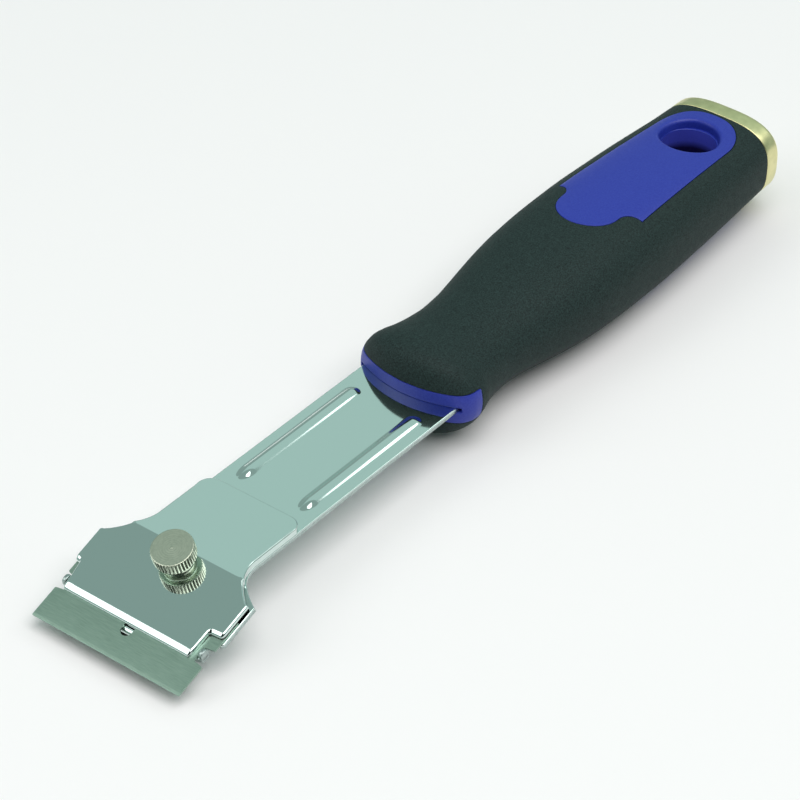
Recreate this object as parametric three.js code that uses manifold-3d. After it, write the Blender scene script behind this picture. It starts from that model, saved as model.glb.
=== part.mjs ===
// Floor scraper: a flat sprung shank with a bent-down head that clamps a wide
// razor blade under a pressed plate and a knurled thumb screw, and a two-material
// handle with a hang hole and a metal striking cap.
// Millimetres. +X runs from the blade to the butt, +Z is up, the top of the shank
// is horizontal. The finished tool stands on z = 0 and is centred on x and y.
import * as THREE from 'three';
import { ParametricGeometry } from 'three/addons/geometries/ParametricGeometry.js';
import { mergeVertices } from 'three/addons/utils/BufferGeometryUtils.js';
import Module from 'manifold-3d';

const wasm = await Module();
wasm.setup();

// ---------------------------------------------------------------- dimensions
// All tool coordinates below start at the bend line of the shank: x = 0 at the
// bend, y = 0 on the centre line, z = 0 on the top face of the shank.
const BEND = THREE.MathUtils.degToRad(19.4); // head drops by this angle
const SHEET = 1.2; // shank and lower head plate
const FIT = 0.1; // gap between sheets that rest on one another
const SLIP = 0.3; // gap between moulded and cut pieces
const REACH = 30; // cutting tools run this far past the handle

const NECK_HALF = 12.45; // half width of the straight shank
const HEAD_HALF = 19.5; // half width of the lower head plate
const HEAD_BACK = -3.2; // head corner nearest to the bend
const HEAD_FRONT = -13.5; // front end of the wide part of the head
const SHOULDER_X = 6.2; // where the concave shoulder leaves the shank
const TONGUE_HALF = 16.0; // front tongue of the lower plate, under the blade
const TONGUE_FRONT = -20.7;

const EAR_BACK = -15.7; // two upturned ears that locate the blade
const EAR_FRONT = -17.9;
const EAR_INNER = 16.85;
const EAR_OUTER = 17.75;
const EAR_TOP = 1.35;

const BLADE_EDGE = -26.8; // cutting edge of the blade
const BLADE_DEPTH = 19.05;
const BLADE_HALF = 19.05;
const BLADE_THICK = 0.4;
const BLADE_BEVEL = 0.65; // ground width of each cutting edge
const BLADE_NOTCH_HALF = 1.7; // side notches, half length along x
const BLADE_NOTCH_FLARE = 0.4;
const BLADE_NOTCH_DEPTH = 2.4;
const BLADE_SLOT_HALF_LENGTH = 3.9;
const BLADE_SLOT_HALF_WIDTH = 1.45;

const CLAMP_TOP = 1.6; // top of the clamp plate above the plate under it
const CLAMP_SHEET = 0.8;
const CLAMP_REAR = 20.9;
const CLAMP_NECK_HALF = 12.5;
const CLAMP_HALF = 19.2;
const CLAMP_BACK = -3.7;
const CLAMP_SHOULDER_X = 5.6;
const CLAMP_NOTCH = -12.5; // rear end of the side notches
const CLAMP_FRONT_HALF = 16.1;
const CLAMP_FRONT = -19.1;
const CLAMP_CORNER = 3.2;
const CLAMP_SLOT_BACK = -4.2; // the side slots let the blade stick out

const SCREW_X = -2.8; // thumb screw axis on the head
const SCREW_NECK_R = 3.3;
const SCREW_NECK_H = 1.85;
const KNURL_R = 4.55;
const KNURL_DEPTH = 0.28;
const KNURL_H = 3.05;
const KNURL_COUNT = 40;
const KNURL_BEVEL = 0.3;
const STEM_R = 1.98; // M4 thread, drawn as its outer cylinder
const STEM_BORE_R = 2.05;
const CLAMP_BORE_R = 2.3;
const STEM_END = -4.6;
const NUT_R = 2.75;
const NUT_BOTTOM = -4.2;
const BORE_SEGMENTS = 48;

const RIB_X0 = 24.4; // two raised stiffening ribs
const RIB_X1 = 64.2;
const RIB_Y = 8.1;
const RIB_HALF = 2.0;
const RIB_H = 0.8;
const RIB_BEVEL = 0.7;

const MID_Z = -SHEET / 2; // mid plane of shank and handle
const TANG_HALF = 9;
const TANG_START = 79;
const TANG_END = 152;
const PIN_R = 2;
const PIN_XS = { tang_pin_front: 97, tang_pin_rear: 118 };
const PIN_HALF_LENGTH = 6;

const SLOT_HALF = 13.6; // slot in the collar that takes the shank
const SLOT_HALF_H = 1.15;
const POCKET_HALF = TANG_HALF + SLIP;
const POCKET_HALF_H = SHEET / 2 + SLIP;
const BAND_HALF_H = 3.6; // blue collar band left bare by the grip
const BAND_BACK = 77.5;
const COLLAR_BOW = 26; // plan radius of the collar front

const GRIP_WALL = 1.9;
const GRIP_REAR = 188.6;
const CAP_REAR = 193.8;
const CAP_WALL = 1.6;
const CAP_ROUND = 1.4; // rounded rear edge of the cap
const HANG_X = 176.8;
const HANG_R = 7.0;
const HANG_RIM_R = 7.9;
const WINDOW_NOSE_X = 136.8; // bare inlay around the hang hole, above and below
const WINDOW_NOSE_R = 7.6;
const WINDOW_SCALLOP_X = 137.3;
const WINDOW_SCALLOP_R = 3.8;
const WINDOW_HALF = WINDOW_NOSE_R + WINDOW_SCALLOP_R;
const WINDOW_REAR_HALF = 10.0; // half width at the hang hole
const WINDOW_REAR_LENGTH = 11.1; // from the hang hole to the rear end
const WINDOW_REAR_POWER = 2.3;

// Handle sections: station, half width, half height, height of the centre above
// the mid plane, superellipse power, and how far the section follows the bow of
// the collar front (1 = fully).
const SECTIONS = [
  { x: 68.7, a: 12.8, b: 3.8, z: 0, n: 2.6, bow: 1 },
  { x: 68.8, a: 13.6, b: 5.2, z: 0, n: 2.5, bow: 1 },
  { x: 69.2, a: 14.3, b: 7.0, z: 0, n: 2.4, bow: 1 },
  { x: 70.0, a: 14.8, b: 8.6, z: 0, n: 2.3, bow: 1 },
  { x: 71.3, a: 15.1, b: 9.7, z: 0, n: 2.3, bow: 1 },
  { x: 73.0, a: 15.1, b: 10.2, z: 0, n: 2.3, bow: 1 },
  { x: 75.5, a: 14.8, b: 10.2, z: 0.1, n: 2.2, bow: 0.95 },
  { x: 79, a: 14.0, b: 9.9, z: 0.1, n: 2.2, bow: 0.75 },
  { x: 84, a: 13.3, b: 9.4, z: 0.15, n: 2.2, bow: 0.45 },
  { x: 90, a: 12.9, b: 9.2, z: 0.15, n: 2.2, bow: 0.15 },
  { x: 96, a: 13.25, b: 9.4, z: 0.15, n: 2.2, bow: 0 },
  { x: 102, a: 14.1, b: 9.95, z: 0.15, n: 2.25, bow: 0 },
  { x: 108, a: 15.1, b: 10.6, z: 0.2, n: 2.3, bow: 0 },
  { x: 114, a: 15.95, b: 11.15, z: 0.3, n: 2.35, bow: 0 },
  { x: 122, a: 16.7, b: 11.65, z: 0.45, n: 2.4, bow: 0 },
  { x: 131, a: 16.95, b: 11.9, z: 0.65, n: 2.5, bow: 0 },
  { x: 142, a: 16.9, b: 11.85, z: 0.8, n: 2.6, bow: 0 },
  { x: 156, a: 16.4, b: 11.4, z: 0.9, n: 2.7, bow: 0 },
  { x: 170, a: 15.75, b: 10.6, z: 1.0, n: 2.8, bow: 0 },
  { x: 180, a: 15.2, b: 10.1, z: 1.0, n: 2.8, bow: 0 },
  { x: GRIP_REAR, a: 14.6, b: 9.8, z: 1.15, n: 2.9, bow: 0 },
];
const AROUND = 36;
const REAR_Z = MID_Z + SECTIONS[SECTIONS.length - 1].z; // centre height at the butt
const HANG_RIM_Z = REAR_Z + 7.2; // the hang hole widens above this height
const SPIGOT_HALF = 9.6; // square spigot of the core that the cap sits on
const SPIGOT_HALF_H = 5.6;
const SPIGOT_ROOT = 5; // length of the spigot inside the core

// ------------------------------------------------------------------- helpers
function toSolid(geometry, matrix = new THREE.Matrix4()) {
  const g = geometry.clone().applyMatrix4(matrix);
  for (const name of Object.keys(g.attributes)) {
    if (name !== 'position') g.deleteAttribute(name);
  }
  const merged = mergeVertices(g, 1e-4);
  const index = merged.index.array;
  const triVerts = [];
  for (let i = 0; i < index.length; i += 3) {
    const [a, b, c] = [index[i], index[i + 1], index[i + 2]];
    if (a !== b && b !== c && c !== a) triVerts.push(a, b, c);
  }
  return new wasm.Manifold(new wasm.Mesh({
    numProp: 3,
    vertProperties: new Float32Array(merged.attributes.position.array),
    triVerts: new Uint32Array(triVerts),
  }));
}

function toGeometry(solid) {
  const mesh = solid.getMesh();
  const g = new THREE.BufferGeometry();
  const positions = new Float32Array(mesh.vertProperties);
  g.setAttribute('position', new THREE.BufferAttribute(positions, 3));
  g.setIndex(new THREE.BufferAttribute(new Uint32Array(mesh.triVerts), 1));
  g.computeVertexNormals();
  return g;
}

function at(x, y, z) {
  return new THREE.Matrix4().makeTranslation(x, y, z);
}

function boxSolid(x0, x1, y0, y1, z0, z1) {
  const g = new THREE.BoxGeometry(x1 - x0, y1 - y0, z1 - z0);
  return toSolid(g, at((x0 + x1) / 2, (y0 + y1) / 2, (z0 + z1) / 2));
}

function extrudeSolid(shape, z0, z1, curveSegments = 8) {
  const g = new THREE.ExtrudeGeometry(shape, {
    depth: z1 - z0,
    bevelEnabled: false,
    curveSegments,
  });
  return toSolid(g, at(0, 0, z0));
}

// Upright cylinder on the z axis at (x, y).
function rodSolid(x, y, radius, z0, z1, segments = BORE_SEGMENTS) {
  const g = new THREE.CylinderGeometry(radius, radius, z1 - z0, segments);
  g.rotateX(Math.PI / 2);
  return toSolid(g, at(x, y, (z0 + z1) / 2));
}

// Folds the part of a flat solid that lies at x < 0 down by BEND. The fold line
// is the top edge of the lower plate, and the cut faces meet on the bisector.
function foldDown(flat, z0, z1) {
  const reach = 400;
  const halves = [
    { solid: flat.subtract(boxSolid(0, reach, -reach, reach, z0 - 1, z1 + 1)), turn: -BEND },
    { solid: flat.subtract(boxSolid(-reach, 0, -reach, reach, z0 - 1, z1 + 1)), turn: 0 },
  ];
  const folded = halves.map(({ solid, turn }) => {
    const g = toGeometry(solid);
    const p = g.attributes.position;
    for (let i = 0; i < p.count; i += 1) {
      const [x, z] = [p.getX(i), p.getZ(i)];
      if (Math.abs(x) < 1e-4) {
        p.setX(i, -z * Math.tan(BEND / 2));
      } else if (turn !== 0) {
        p.setX(i, x * Math.cos(BEND) - z * Math.sin(BEND));
        p.setZ(i, x * Math.sin(BEND) + z * Math.cos(BEND));
      }
    }
    return toSolid(g);
  });
  return folded[0].add(folded[1]);
}

function mirrored(points) {
  return points.map(([x, y]) => [x, -y]).reverse();
}

function shapeFrom(points) {
  return new THREE.Shape(points.map(([x, y]) => new THREE.Vector2(x, y)));
}

// Samples a cubic curve that ends at its last point.
function curvePoints(p0, p1, p2, p3, steps) {
  const curve = new THREE.CubicBezierCurve(
    new THREE.Vector2(...p0), new THREE.Vector2(...p1),
    new THREE.Vector2(...p2), new THREE.Vector2(...p3),
  );
  return curve.getPoints(steps).map((v) => [v.x, v.y]);
}

function arcPoints(cx, cy, radius, from, to, steps) {
  const out = [];
  for (let i = 0; i <= steps; i += 1) {
    const t = from + ((to - from) * i) / steps;
    out.push([cx + radius * Math.cos(t), cy + radius * Math.sin(t)]);
  }
  return out;
}

// ------------------------------------------------------------------ shank
function shankOutline() {
  const side = [
    [TANG_END, TANG_HALF],
    [TANG_START, TANG_HALF],
    [TANG_START, NECK_HALF],
    ...curvePoints(
      [SHOULDER_X, NECK_HALF], [SHOULDER_X - 4.4, NECK_HALF + 0.1],
      [HEAD_BACK + 2.1, NECK_HALF + 3], [HEAD_BACK, HEAD_HALF], 10,
    ),
    [HEAD_FRONT + 0.8, HEAD_HALF],
    [HEAD_FRONT, EAR_OUTER],
    [EAR_FRONT, EAR_OUTER],
    [EAR_FRONT - 0.3, TONGUE_HALF],
    [TONGUE_FRONT + 0.8, TONGUE_HALF],
    [TONGUE_FRONT, TONGUE_HALF - 0.8],
  ];
  return shapeFrom([...side, ...mirrored(side)]);
}

function earSolid(side) {
  const mid = (EAR_BACK + EAR_FRONT) / 2;
  const half = (EAR_BACK - EAR_FRONT) / 2;
  const shape = shapeFrom([
    [mid - half, -SHEET / 2],
    [mid + half, -SHEET / 2],
    ...arcPoints(mid, EAR_TOP - half * 0.6, half, 0, Math.PI, 8)
      .map(([x, z]) => [x, EAR_TOP - (EAR_TOP - z) * 0.6]),
  ]);
  const g = new THREE.ExtrudeGeometry(shape, { depth: EAR_OUTER - EAR_INNER, bevelEnabled: false });
  g.rotateX(Math.PI / 2);
  return toSolid(g, at(0, side > 0 ? EAR_OUTER : -EAR_INNER, 0));
}

function ribSolid(y, height, inset, base) {
  const r = RIB_HALF - inset;
  const [x0, x1] = [RIB_X0 + inset + r, RIB_X1 - inset - r];
  const shape = shapeFrom([
    ...arcPoints(x1, y, r - RIB_BEVEL, -Math.PI / 2, Math.PI / 2, 8),
    ...arcPoints(x0, y, r - RIB_BEVEL, Math.PI / 2, Math.PI * 1.5, 8),
  ]);
  const g = new THREE.ExtrudeGeometry(shape, {
    depth: SHEET / 2,
    bevelThickness: height,
    bevelSize: RIB_BEVEL,
    bevelSegments: 2,
  });
  return toSolid(g, at(0, 0, base - SHEET / 2));
}

function shankSolid() {
  let flat = extrudeSolid(shankOutline(), -SHEET, 0);
  for (const side of [1, -1]) {
    flat = flat.add(earSolid(side));
    const rib = ribSolid(side * RIB_Y, RIB_H, 0, 0);
    const upper = boxSolid(0, TANG_END, -NECK_HALF, NECK_HALF, -SHEET / 2, SHEET * 2);
    flat = flat.add(rib.intersect(upper));
    const hollow = ribSolid(side * RIB_Y, RIB_H, SHEET / 2, -SHEET);
    const lower = boxSolid(0, TANG_END, -NECK_HALF, NECK_HALF, -SHEET * 2, SHEET * 2);
    flat = flat.subtract(hollow.intersect(lower));
  }
  flat = flat.subtract(rodSolid(SCREW_X, 0, CLAMP_BORE_R, -SHEET * 2, SHEET));
  for (const x of Object.values(PIN_XS)) {
    flat = flat.subtract(rodSolid(x, 0, PIN_R + SLIP, -SHEET * 2, SHEET, 24));
  }
  return foldDown(flat, -SHEET * 2, CLAMP_TOP * 2);
}

// ------------------------------------------------------------------ clamp
function clampOutline(inset) {
  const neck = CLAMP_NECK_HALF - inset;
  const half = CLAMP_HALF - inset;
  const corner = CLAMP_CORNER - inset;
  const side = [
    ...arcPoints(CLAMP_REAR - CLAMP_CORNER, CLAMP_NECK_HALF - CLAMP_CORNER, corner, 0, Math.PI / 2, 5),
    ...curvePoints(
      [CLAMP_SHOULDER_X, neck], [CLAMP_SHOULDER_X - 4, neck],
      [CLAMP_BACK + 2 - inset * 0.6, CLAMP_NECK_HALF + 3 - inset], [CLAMP_BACK - inset * 0.5, half - 0.6], 9,
    ),
    [CLAMP_BACK - 0.5 - inset * 0.5, half],
    [CLAMP_NOTCH + 0.9 + inset, half],
    [CLAMP_NOTCH + inset, half - 0.9],
    [CLAMP_NOTCH - 0.3 + inset, CLAMP_FRONT_HALF + 0.4 - inset],
    [CLAMP_NOTCH - 0.8 + inset, CLAMP_FRONT_HALF - inset],
    [CLAMP_FRONT + 0.5 + inset, CLAMP_FRONT_HALF - inset],
    [CLAMP_FRONT + inset, CLAMP_FRONT_HALF - 0.5 - inset],
  ];
  return shapeFrom([...side, ...mirrored(side)]);
}

function clampSolid() {
  const far = BLADE_HALF * 2;
  let pan = extrudeSolid(clampOutline(0), FIT, CLAMP_TOP);
  const hollow = extrudeSolid(clampOutline(CLAMP_SHEET), -FIT, CLAMP_TOP - CLAMP_SHEET);
  pan = pan.subtract(hollow);
  const passTop = CLAMP_TOP - CLAMP_SHEET;
  const bladeTop = FIT + BLADE_THICK + FIT;
  pan = pan.subtract(boxSolid(CLAMP_NOTCH - 1, CLAMP_SLOT_BACK, -far, far, -1, passTop));
  pan = pan.subtract(boxSolid(CLAMP_FRONT - 1, CLAMP_SLOT_BACK, -far, far, -1, bladeTop));
  pan = pan.subtract(rodSolid(SCREW_X, 0, CLAMP_BORE_R, -1, CLAMP_TOP + 1));
  return foldDown(pan, -1, CLAMP_TOP + 1);
}

// ------------------------------------------------------------------ blade
function bladeSolid() {
  const midX = BLADE_EDGE + BLADE_DEPTH / 2;
  const rear = BLADE_EDGE + BLADE_DEPTH;
  const inner = BLADE_HALF - BLADE_NOTCH_DEPTH;
  const side = [
    [rear - BLADE_BEVEL, BLADE_HALF],
    [midX + BLADE_NOTCH_HALF + BLADE_NOTCH_FLARE, BLADE_HALF],
    [midX + BLADE_NOTCH_HALF, inner],
    [midX - BLADE_NOTCH_HALF, inner],
    [midX - BLADE_NOTCH_HALF - BLADE_NOTCH_FLARE, BLADE_HALF],
    [BLADE_EDGE + BLADE_BEVEL, BLADE_HALF],
  ];
  const shape = shapeFrom([...side, ...mirrored(side)]);
  const slotReach = BLADE_SLOT_HALF_LENGTH - BLADE_SLOT_HALF_WIDTH;
  shape.holes.push(new THREE.Path([
    ...arcPoints(midX + slotReach, 0, BLADE_SLOT_HALF_WIDTH, -Math.PI / 2, Math.PI / 2, 8),
    ...arcPoints(midX - slotReach, 0, BLADE_SLOT_HALF_WIDTH, Math.PI / 2, Math.PI * 1.5, 8),
  ].map(([x, y]) => new THREE.Vector2(x, y))));
  let blade = extrudeSolid(shape, FIT, FIT + BLADE_THICK);
  for (const [edge, dir] of [[BLADE_EDGE, 1], [rear, -1]]) {
    const wedge = shapeFrom([
      [edge, FIT + BLADE_THICK / 2 - 0.03],
      [edge + dir * BLADE_BEVEL, FIT],
      [edge + dir * BLADE_BEVEL, FIT + BLADE_THICK],
      [edge, FIT + BLADE_THICK / 2 + 0.03],
    ]);
    const g = new THREE.ExtrudeGeometry(wedge, { depth: BLADE_HALF * 2, bevelEnabled: false });
    g.rotateX(Math.PI / 2);
    blade = blade.add(toSolid(g, at(0, BLADE_HALF, 0)));
  }
  return blade;
}

// ------------------------------------------------------- thumb screw and nut
function knurlShape() {
  const points = [];
  for (let i = 0; i < KNURL_COUNT * 2; i += 1) {
    const r = (i % 2 ? KNURL_R - KNURL_DEPTH : KNURL_R) - KNURL_BEVEL;
    const t = (i * Math.PI) / KNURL_COUNT;
    points.push([r * Math.cos(t), r * Math.sin(t)]);
  }
  return shapeFrom(points);
}

function thumbScrewSolid() {
  const base = CLAMP_TOP + FIT;
  const knurlBase = base + SCREW_NECK_H;
  const knob = new THREE.ExtrudeGeometry(knurlShape(), {
    depth: KNURL_H - KNURL_BEVEL * 2,
    bevelThickness: KNURL_BEVEL,
    bevelSize: KNURL_BEVEL,
    bevelSegments: 1,
  });
  const head = toSolid(knob, at(0, 0, knurlBase + KNURL_BEVEL));
  const neck = rodSolid(0, 0, SCREW_NECK_R, base, knurlBase + KNURL_BEVEL);
  const stem = rodSolid(0, 0, STEM_R, STEM_END, base + FIT);
  return head.add(neck).add(stem);
}

function clinchNutSolid() {
  const top = -SHEET - FIT;
  const body = rodSolid(SCREW_X, 0, NUT_R, NUT_BOTTOM, top, 24);
  return body.subtract(rodSolid(SCREW_X, 0, STEM_BORE_R, NUT_BOTTOM - 1, top + 1));
}

// ------------------------------------------------------------------ handle
// Closed skin through a list of sections, in order along x.
function skinSolid(sections, aroundCount) {
  const last = sections.length - 1;
  const surface = (u, v, target) => {
    const k = Math.round(v * (last + 2)) - 1;
    const ring = sections[Math.min(Math.max(k, 0), last)];
    const scale = k < 0 || k > last ? 0 : 1;
    const [c, s] = [Math.cos(u * Math.PI * 2), Math.sin(u * Math.PI * 2)];
    const power = 2 / ring.n;
    const y = scale * ring.a * Math.sign(c) * Math.abs(c) ** power;
    const z = scale * ring.b * Math.sign(s) * Math.abs(s) ** power;
    target.set(ring.x + (ring.bow * y * y) / (2 * COLLAR_BOW), y, MID_Z + ring.z + z);
  };
  return toSolid(new ParametricGeometry(surface, aroundCount, last + 2));
}

// The handle body shrunk evenly by "inset", its rear end moved back by "tail".
function handleSolid(inset, tail = 0) {
  const sections = SECTIONS.map((s) => ({
    ...s,
    x: s.x + inset * s.bow + (s.x === GRIP_REAR ? tail : 0),
    a: s.a - inset,
    b: s.b - inset,
  }));
  return skinSolid(sections, AROUND);
}

// Quarter of a superellipse from its tip on the x axis round to its side.
function rearPoints(cx, length, half, steps) {
  const power = 2 / WINDOW_REAR_POWER;
  return arcPoints(0, 0, 1, 0, Math.PI / 2, steps)
    .map(([c, s]) => [cx + length * Math.abs(c) ** power, half * Math.abs(s) ** power]);
}

function windowOutline(inset) {
  const nose = WINDOW_NOSE_R - inset;
  const scallop = WINDOW_SCALLOP_R + inset;
  const start = -Math.asin(inset / scallop);
  const side = [
    ...rearPoints(HANG_X, WINDOW_REAR_LENGTH - inset, WINDOW_REAR_HALF - inset, 12),
    ...arcPoints(WINDOW_SCALLOP_X, WINDOW_HALF, scallop, start, -Math.PI / 2, 6),
    ...arcPoints(WINDOW_NOSE_X, 0, nose, Math.PI / 2, Math.PI, 8).slice(0, -1),
  ];
  return shapeFrom([...side, [WINDOW_NOSE_X - nose, 0], ...mirrored(side).slice(0, -1)]);
}

// The region at the collar where the core is left bare.
function bandSolid(inset) {
  const half = BAND_HALF_H - inset;
  return boxSolid(SECTIONS[0].x - 2, BAND_BACK - inset, -REACH, REACH, MID_Z - half, MID_Z + half);
}

function gripSolid(outer) {
  return outer
    .subtract(handleSolid(GRIP_WALL, 1))
    .subtract(extrudeSolid(windowOutline(0), -REACH, REACH))
    .subtract(bandSolid(0));
}

// Rectangular spigot at the rear of the core, or the socket for it in the cap.
function spigotSolid(x0, x1, gap) {
  const [y, z] = [SPIGOT_HALF + gap, SPIGOT_HALF_H + gap];
  return boxSolid(x0, x1, -y, y, REAR_Z - z, REAR_Z + z);
}

function coreSolid(outer) {
  let core = handleSolid(GRIP_WALL + SLIP);
  core = core.add(outer.intersect(extrudeSolid(windowOutline(SLIP), -REACH, REACH)));
  core = core.add(outer.intersect(bandSolid(SLIP)));
  core = core.add(spigotSolid(GRIP_REAR - SPIGOT_ROOT, CAP_REAR - CAP_WALL - SLIP, 0));
  core = core.subtract(boxSolid(
    SECTIONS[0].x - 1, TANG_START + SLIP, -SLOT_HALF, SLOT_HALF, MID_Z - SLOT_HALF_H, MID_Z + SLOT_HALF_H,
  ));
  core = core.subtract(boxSolid(
    TANG_START, TANG_END + SLIP, -POCKET_HALF, POCKET_HALF, MID_Z - POCKET_HALF_H, MID_Z + POCKET_HALF_H,
  ));
  core = core.subtract(rodSolid(HANG_X, 0, HANG_R, -REACH, REACH));
  core = core.subtract(rodSolid(HANG_X, 0, HANG_RIM_R, HANG_RIM_Z, REACH));
  core = core.subtract(rodSolid(HANG_X, 0, HANG_RIM_R, -REACH, 2 * REAR_Z - HANG_RIM_Z));
  for (const x of Object.values(PIN_XS)) {
    const hole = PIN_HALF_LENGTH + SLIP;
    core = core.subtract(rodSolid(x, 0, PIN_R + FIT, MID_Z - hole, MID_Z + hole, 24));
  }
  return core;
}

function capSolid() {
  const rear = SECTIONS[SECTIONS.length - 1];
  const steps = [
    { x: GRIP_REAR + SLIP, inset: 0 },
    { x: CAP_REAR - CAP_ROUND, inset: 0.1 },
    { x: CAP_REAR - CAP_ROUND * 0.35, inset: CAP_ROUND * 0.4 },
    { x: CAP_REAR, inset: CAP_ROUND },
  ];
  const sections = steps.map(({ x, inset }) => ({ ...rear, x, a: rear.a - inset, b: rear.b - inset }));
  return skinSolid(sections, AROUND * 2).subtract(spigotSolid(GRIP_REAR - 1, CAP_REAR - CAP_WALL, SLIP));
}

// ------------------------------------------------------------------ materials
function material(color, roughness, metalness) {
  return new THREE.MeshStandardMaterial({ color, roughness, metalness });
}

const chrome = material(0xb4cdc6, 0.12, 1);
const bladeSteel = material(0x8fa39b, 0.35, 1);
const nickel = material(0xa9b09a, 0.25, 1);
const zinc = material(0x9a9f9a, 0.4, 1);
const bluePlastic = material(0x3444a0, 0.4, 0);
const softGrip = material(0x28403d, 0.85, 0);
const goldPlate = material(0xb4c285, 0.3, 1);

// ------------------------------------------------------------------ assembly
const group = new THREE.Group();
const tool = new THREE.Group();
const head = new THREE.Group();
head.rotation.y = -BEND;
group.add(tool);
tool.add(head);

function place(parent, name, solid, look, position = [0, 0, 0]) {
  const mesh = new THREE.Mesh(toGeometry(solid), look);
  mesh.name = name;
  mesh.position.set(...position);
  parent.add(mesh);
}

const outerHandle = handleSolid(0);
place(tool, 'shank', shankSolid(), chrome);
place(tool, 'clamp_plate', clampSolid(), chrome);
place(head, 'blade', bladeSolid(), bladeSteel);
place(head, 'thumb_screw', thumbScrewSolid(), nickel, [SCREW_X, 0, 0]);
place(head, 'clinch_nut', clinchNutSolid(), zinc);
place(tool, 'handle_core', coreSolid(outerHandle), bluePlastic);
place(tool, 'grip', gripSolid(outerHandle), softGrip);
place(tool, 'hammer_cap', capSolid(), goldPlate);
for (const [name, x] of Object.entries(PIN_XS)) {
  const pin = rodSolid(0, 0, PIN_R, -PIN_HALF_LENGTH, PIN_HALF_LENGTH, 24);
  place(tool, name, pin, zinc, [x, 0, MID_Z]);
}

// Stand the tool on z = 0, centred on x and y.
group.updateMatrixWorld(true);
const bounds = new THREE.Box3().setFromObject(tool, true);
tool.position.set(
  -(bounds.min.x + bounds.max.x) / 2,
  -(bounds.min.y + bounds.max.y) / 2,
  -bounds.min.z,
);
group.updateMatrixWorld(true);

export default group;
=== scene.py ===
"""Floor scraper: detailed pieces, materials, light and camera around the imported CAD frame.

Shapes are made in tool millimetres: x = 0 on the bend of the shank, +X towards the
butt, y = 0 on the centre line and z = 0 on the top face of the shank. Two places read
from the frame put them into the row frame, in metres.
"""

import math

import bpy
import numpy as np
from mathutils import Matrix, Vector
from mathutils.geometry import delaunay_2d_cdt


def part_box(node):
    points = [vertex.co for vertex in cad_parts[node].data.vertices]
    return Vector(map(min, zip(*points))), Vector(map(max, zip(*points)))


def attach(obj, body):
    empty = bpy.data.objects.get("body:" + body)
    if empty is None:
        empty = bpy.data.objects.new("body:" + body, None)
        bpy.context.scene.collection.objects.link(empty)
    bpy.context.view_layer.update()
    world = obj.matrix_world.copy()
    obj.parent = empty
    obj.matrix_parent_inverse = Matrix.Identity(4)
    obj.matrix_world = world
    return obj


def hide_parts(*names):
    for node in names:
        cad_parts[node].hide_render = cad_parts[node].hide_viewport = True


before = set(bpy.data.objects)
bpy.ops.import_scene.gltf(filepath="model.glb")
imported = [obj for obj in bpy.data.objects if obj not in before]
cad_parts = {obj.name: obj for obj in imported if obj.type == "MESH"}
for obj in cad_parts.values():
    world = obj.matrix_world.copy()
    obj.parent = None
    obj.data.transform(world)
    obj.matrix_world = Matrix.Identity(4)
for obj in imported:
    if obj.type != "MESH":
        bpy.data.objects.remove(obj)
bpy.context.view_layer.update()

# ------------------------------------------------------------------ sizes, in mm
# FRONT, BACK, REAR and X are places along x, HALF is half a width, R is a radius.
MM = 0.001
CAP_REAR = 193.8
SHEET = 1.2
BEND = math.radians(19.4)
SHANK_BEND_R = 1.8  # bend radius of the shank, at its top face
CLAMP_BEND_R = 0.12
GAP = 0.06  # open line between neighbouring pieces

NECK_HALF = 12.45
HEAD_HALF = 19.5
HEAD_BACK = -3.2
HEAD_FRONT = -13.5
SHOULDER_X = 6.2
TONGUE_HALF = 16.0
TONGUE_FRONT = -20.45
TONGUE_BEVEL = 0.9  # its front end slopes out this far below
TONGUE_ROLL = 0.6  # its rounded front end reaches back this much further than other edges
TONGUE_DROP = 0.45  # and falls this much further
SHEET_ROLL = 0.28  # reach of the rounded edges of the sheet
CORNER_EASE = 1.25  # round corners against the reach of the roll along them
ROLL_GUARD = 0.08  # how far the last ring lies past a roll, against its reach
TONGUE_CORNER = (CORNER_EASE * (SHEET_ROLL + TONGUE_ROLL), CORNER_EASE * SHEET_ROLL)
TANG_HALF = 9.0
TANG_START = 79.0
TANG_END = 152.0

RIB_X0, RIB_X1 = 24.4, 64.2
RIB_Y, RIB_HALF, RIB_H = 8.1, 2.0, 0.67
RIB_UNDER = 0.75  # depth of a rib's hollow against its height
RIB_RUN_OUT = 2.3  # length of the near end of a rib against its half width

EAR_BACK, EAR_FRONT = -15.7, -17.9
EAR_INNER, EAR_OUTER, EAR_TOP = 16.85, 17.78, 1.35
EAR_SHIFT = 0.78  # the left ear stands this much further out
EAR_NECK = 16.9  # half width of the sheet behind the ears

BLADE_EDGE, BLADE_DEPTH, BLADE_HALF = -26.77, 19.05, 19.05
BLADE_BOTTOM, BLADE_TOP, BLADE_BEVEL, BLADE_BEVEL_FALL = 0.1, 0.5, 0.65, 0.1
BLADE_NOTCH_HALF, BLADE_NOTCH_DEPTH, BLADE_NOTCH_FLARE = 1.7, 2.4, 0.4
BLADE_SLOT_HALF_LENGTH, BLADE_SLOT_HALF_WIDTH, BLADE_SLOT_Y = 4.2, 1.32, -0.4

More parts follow.
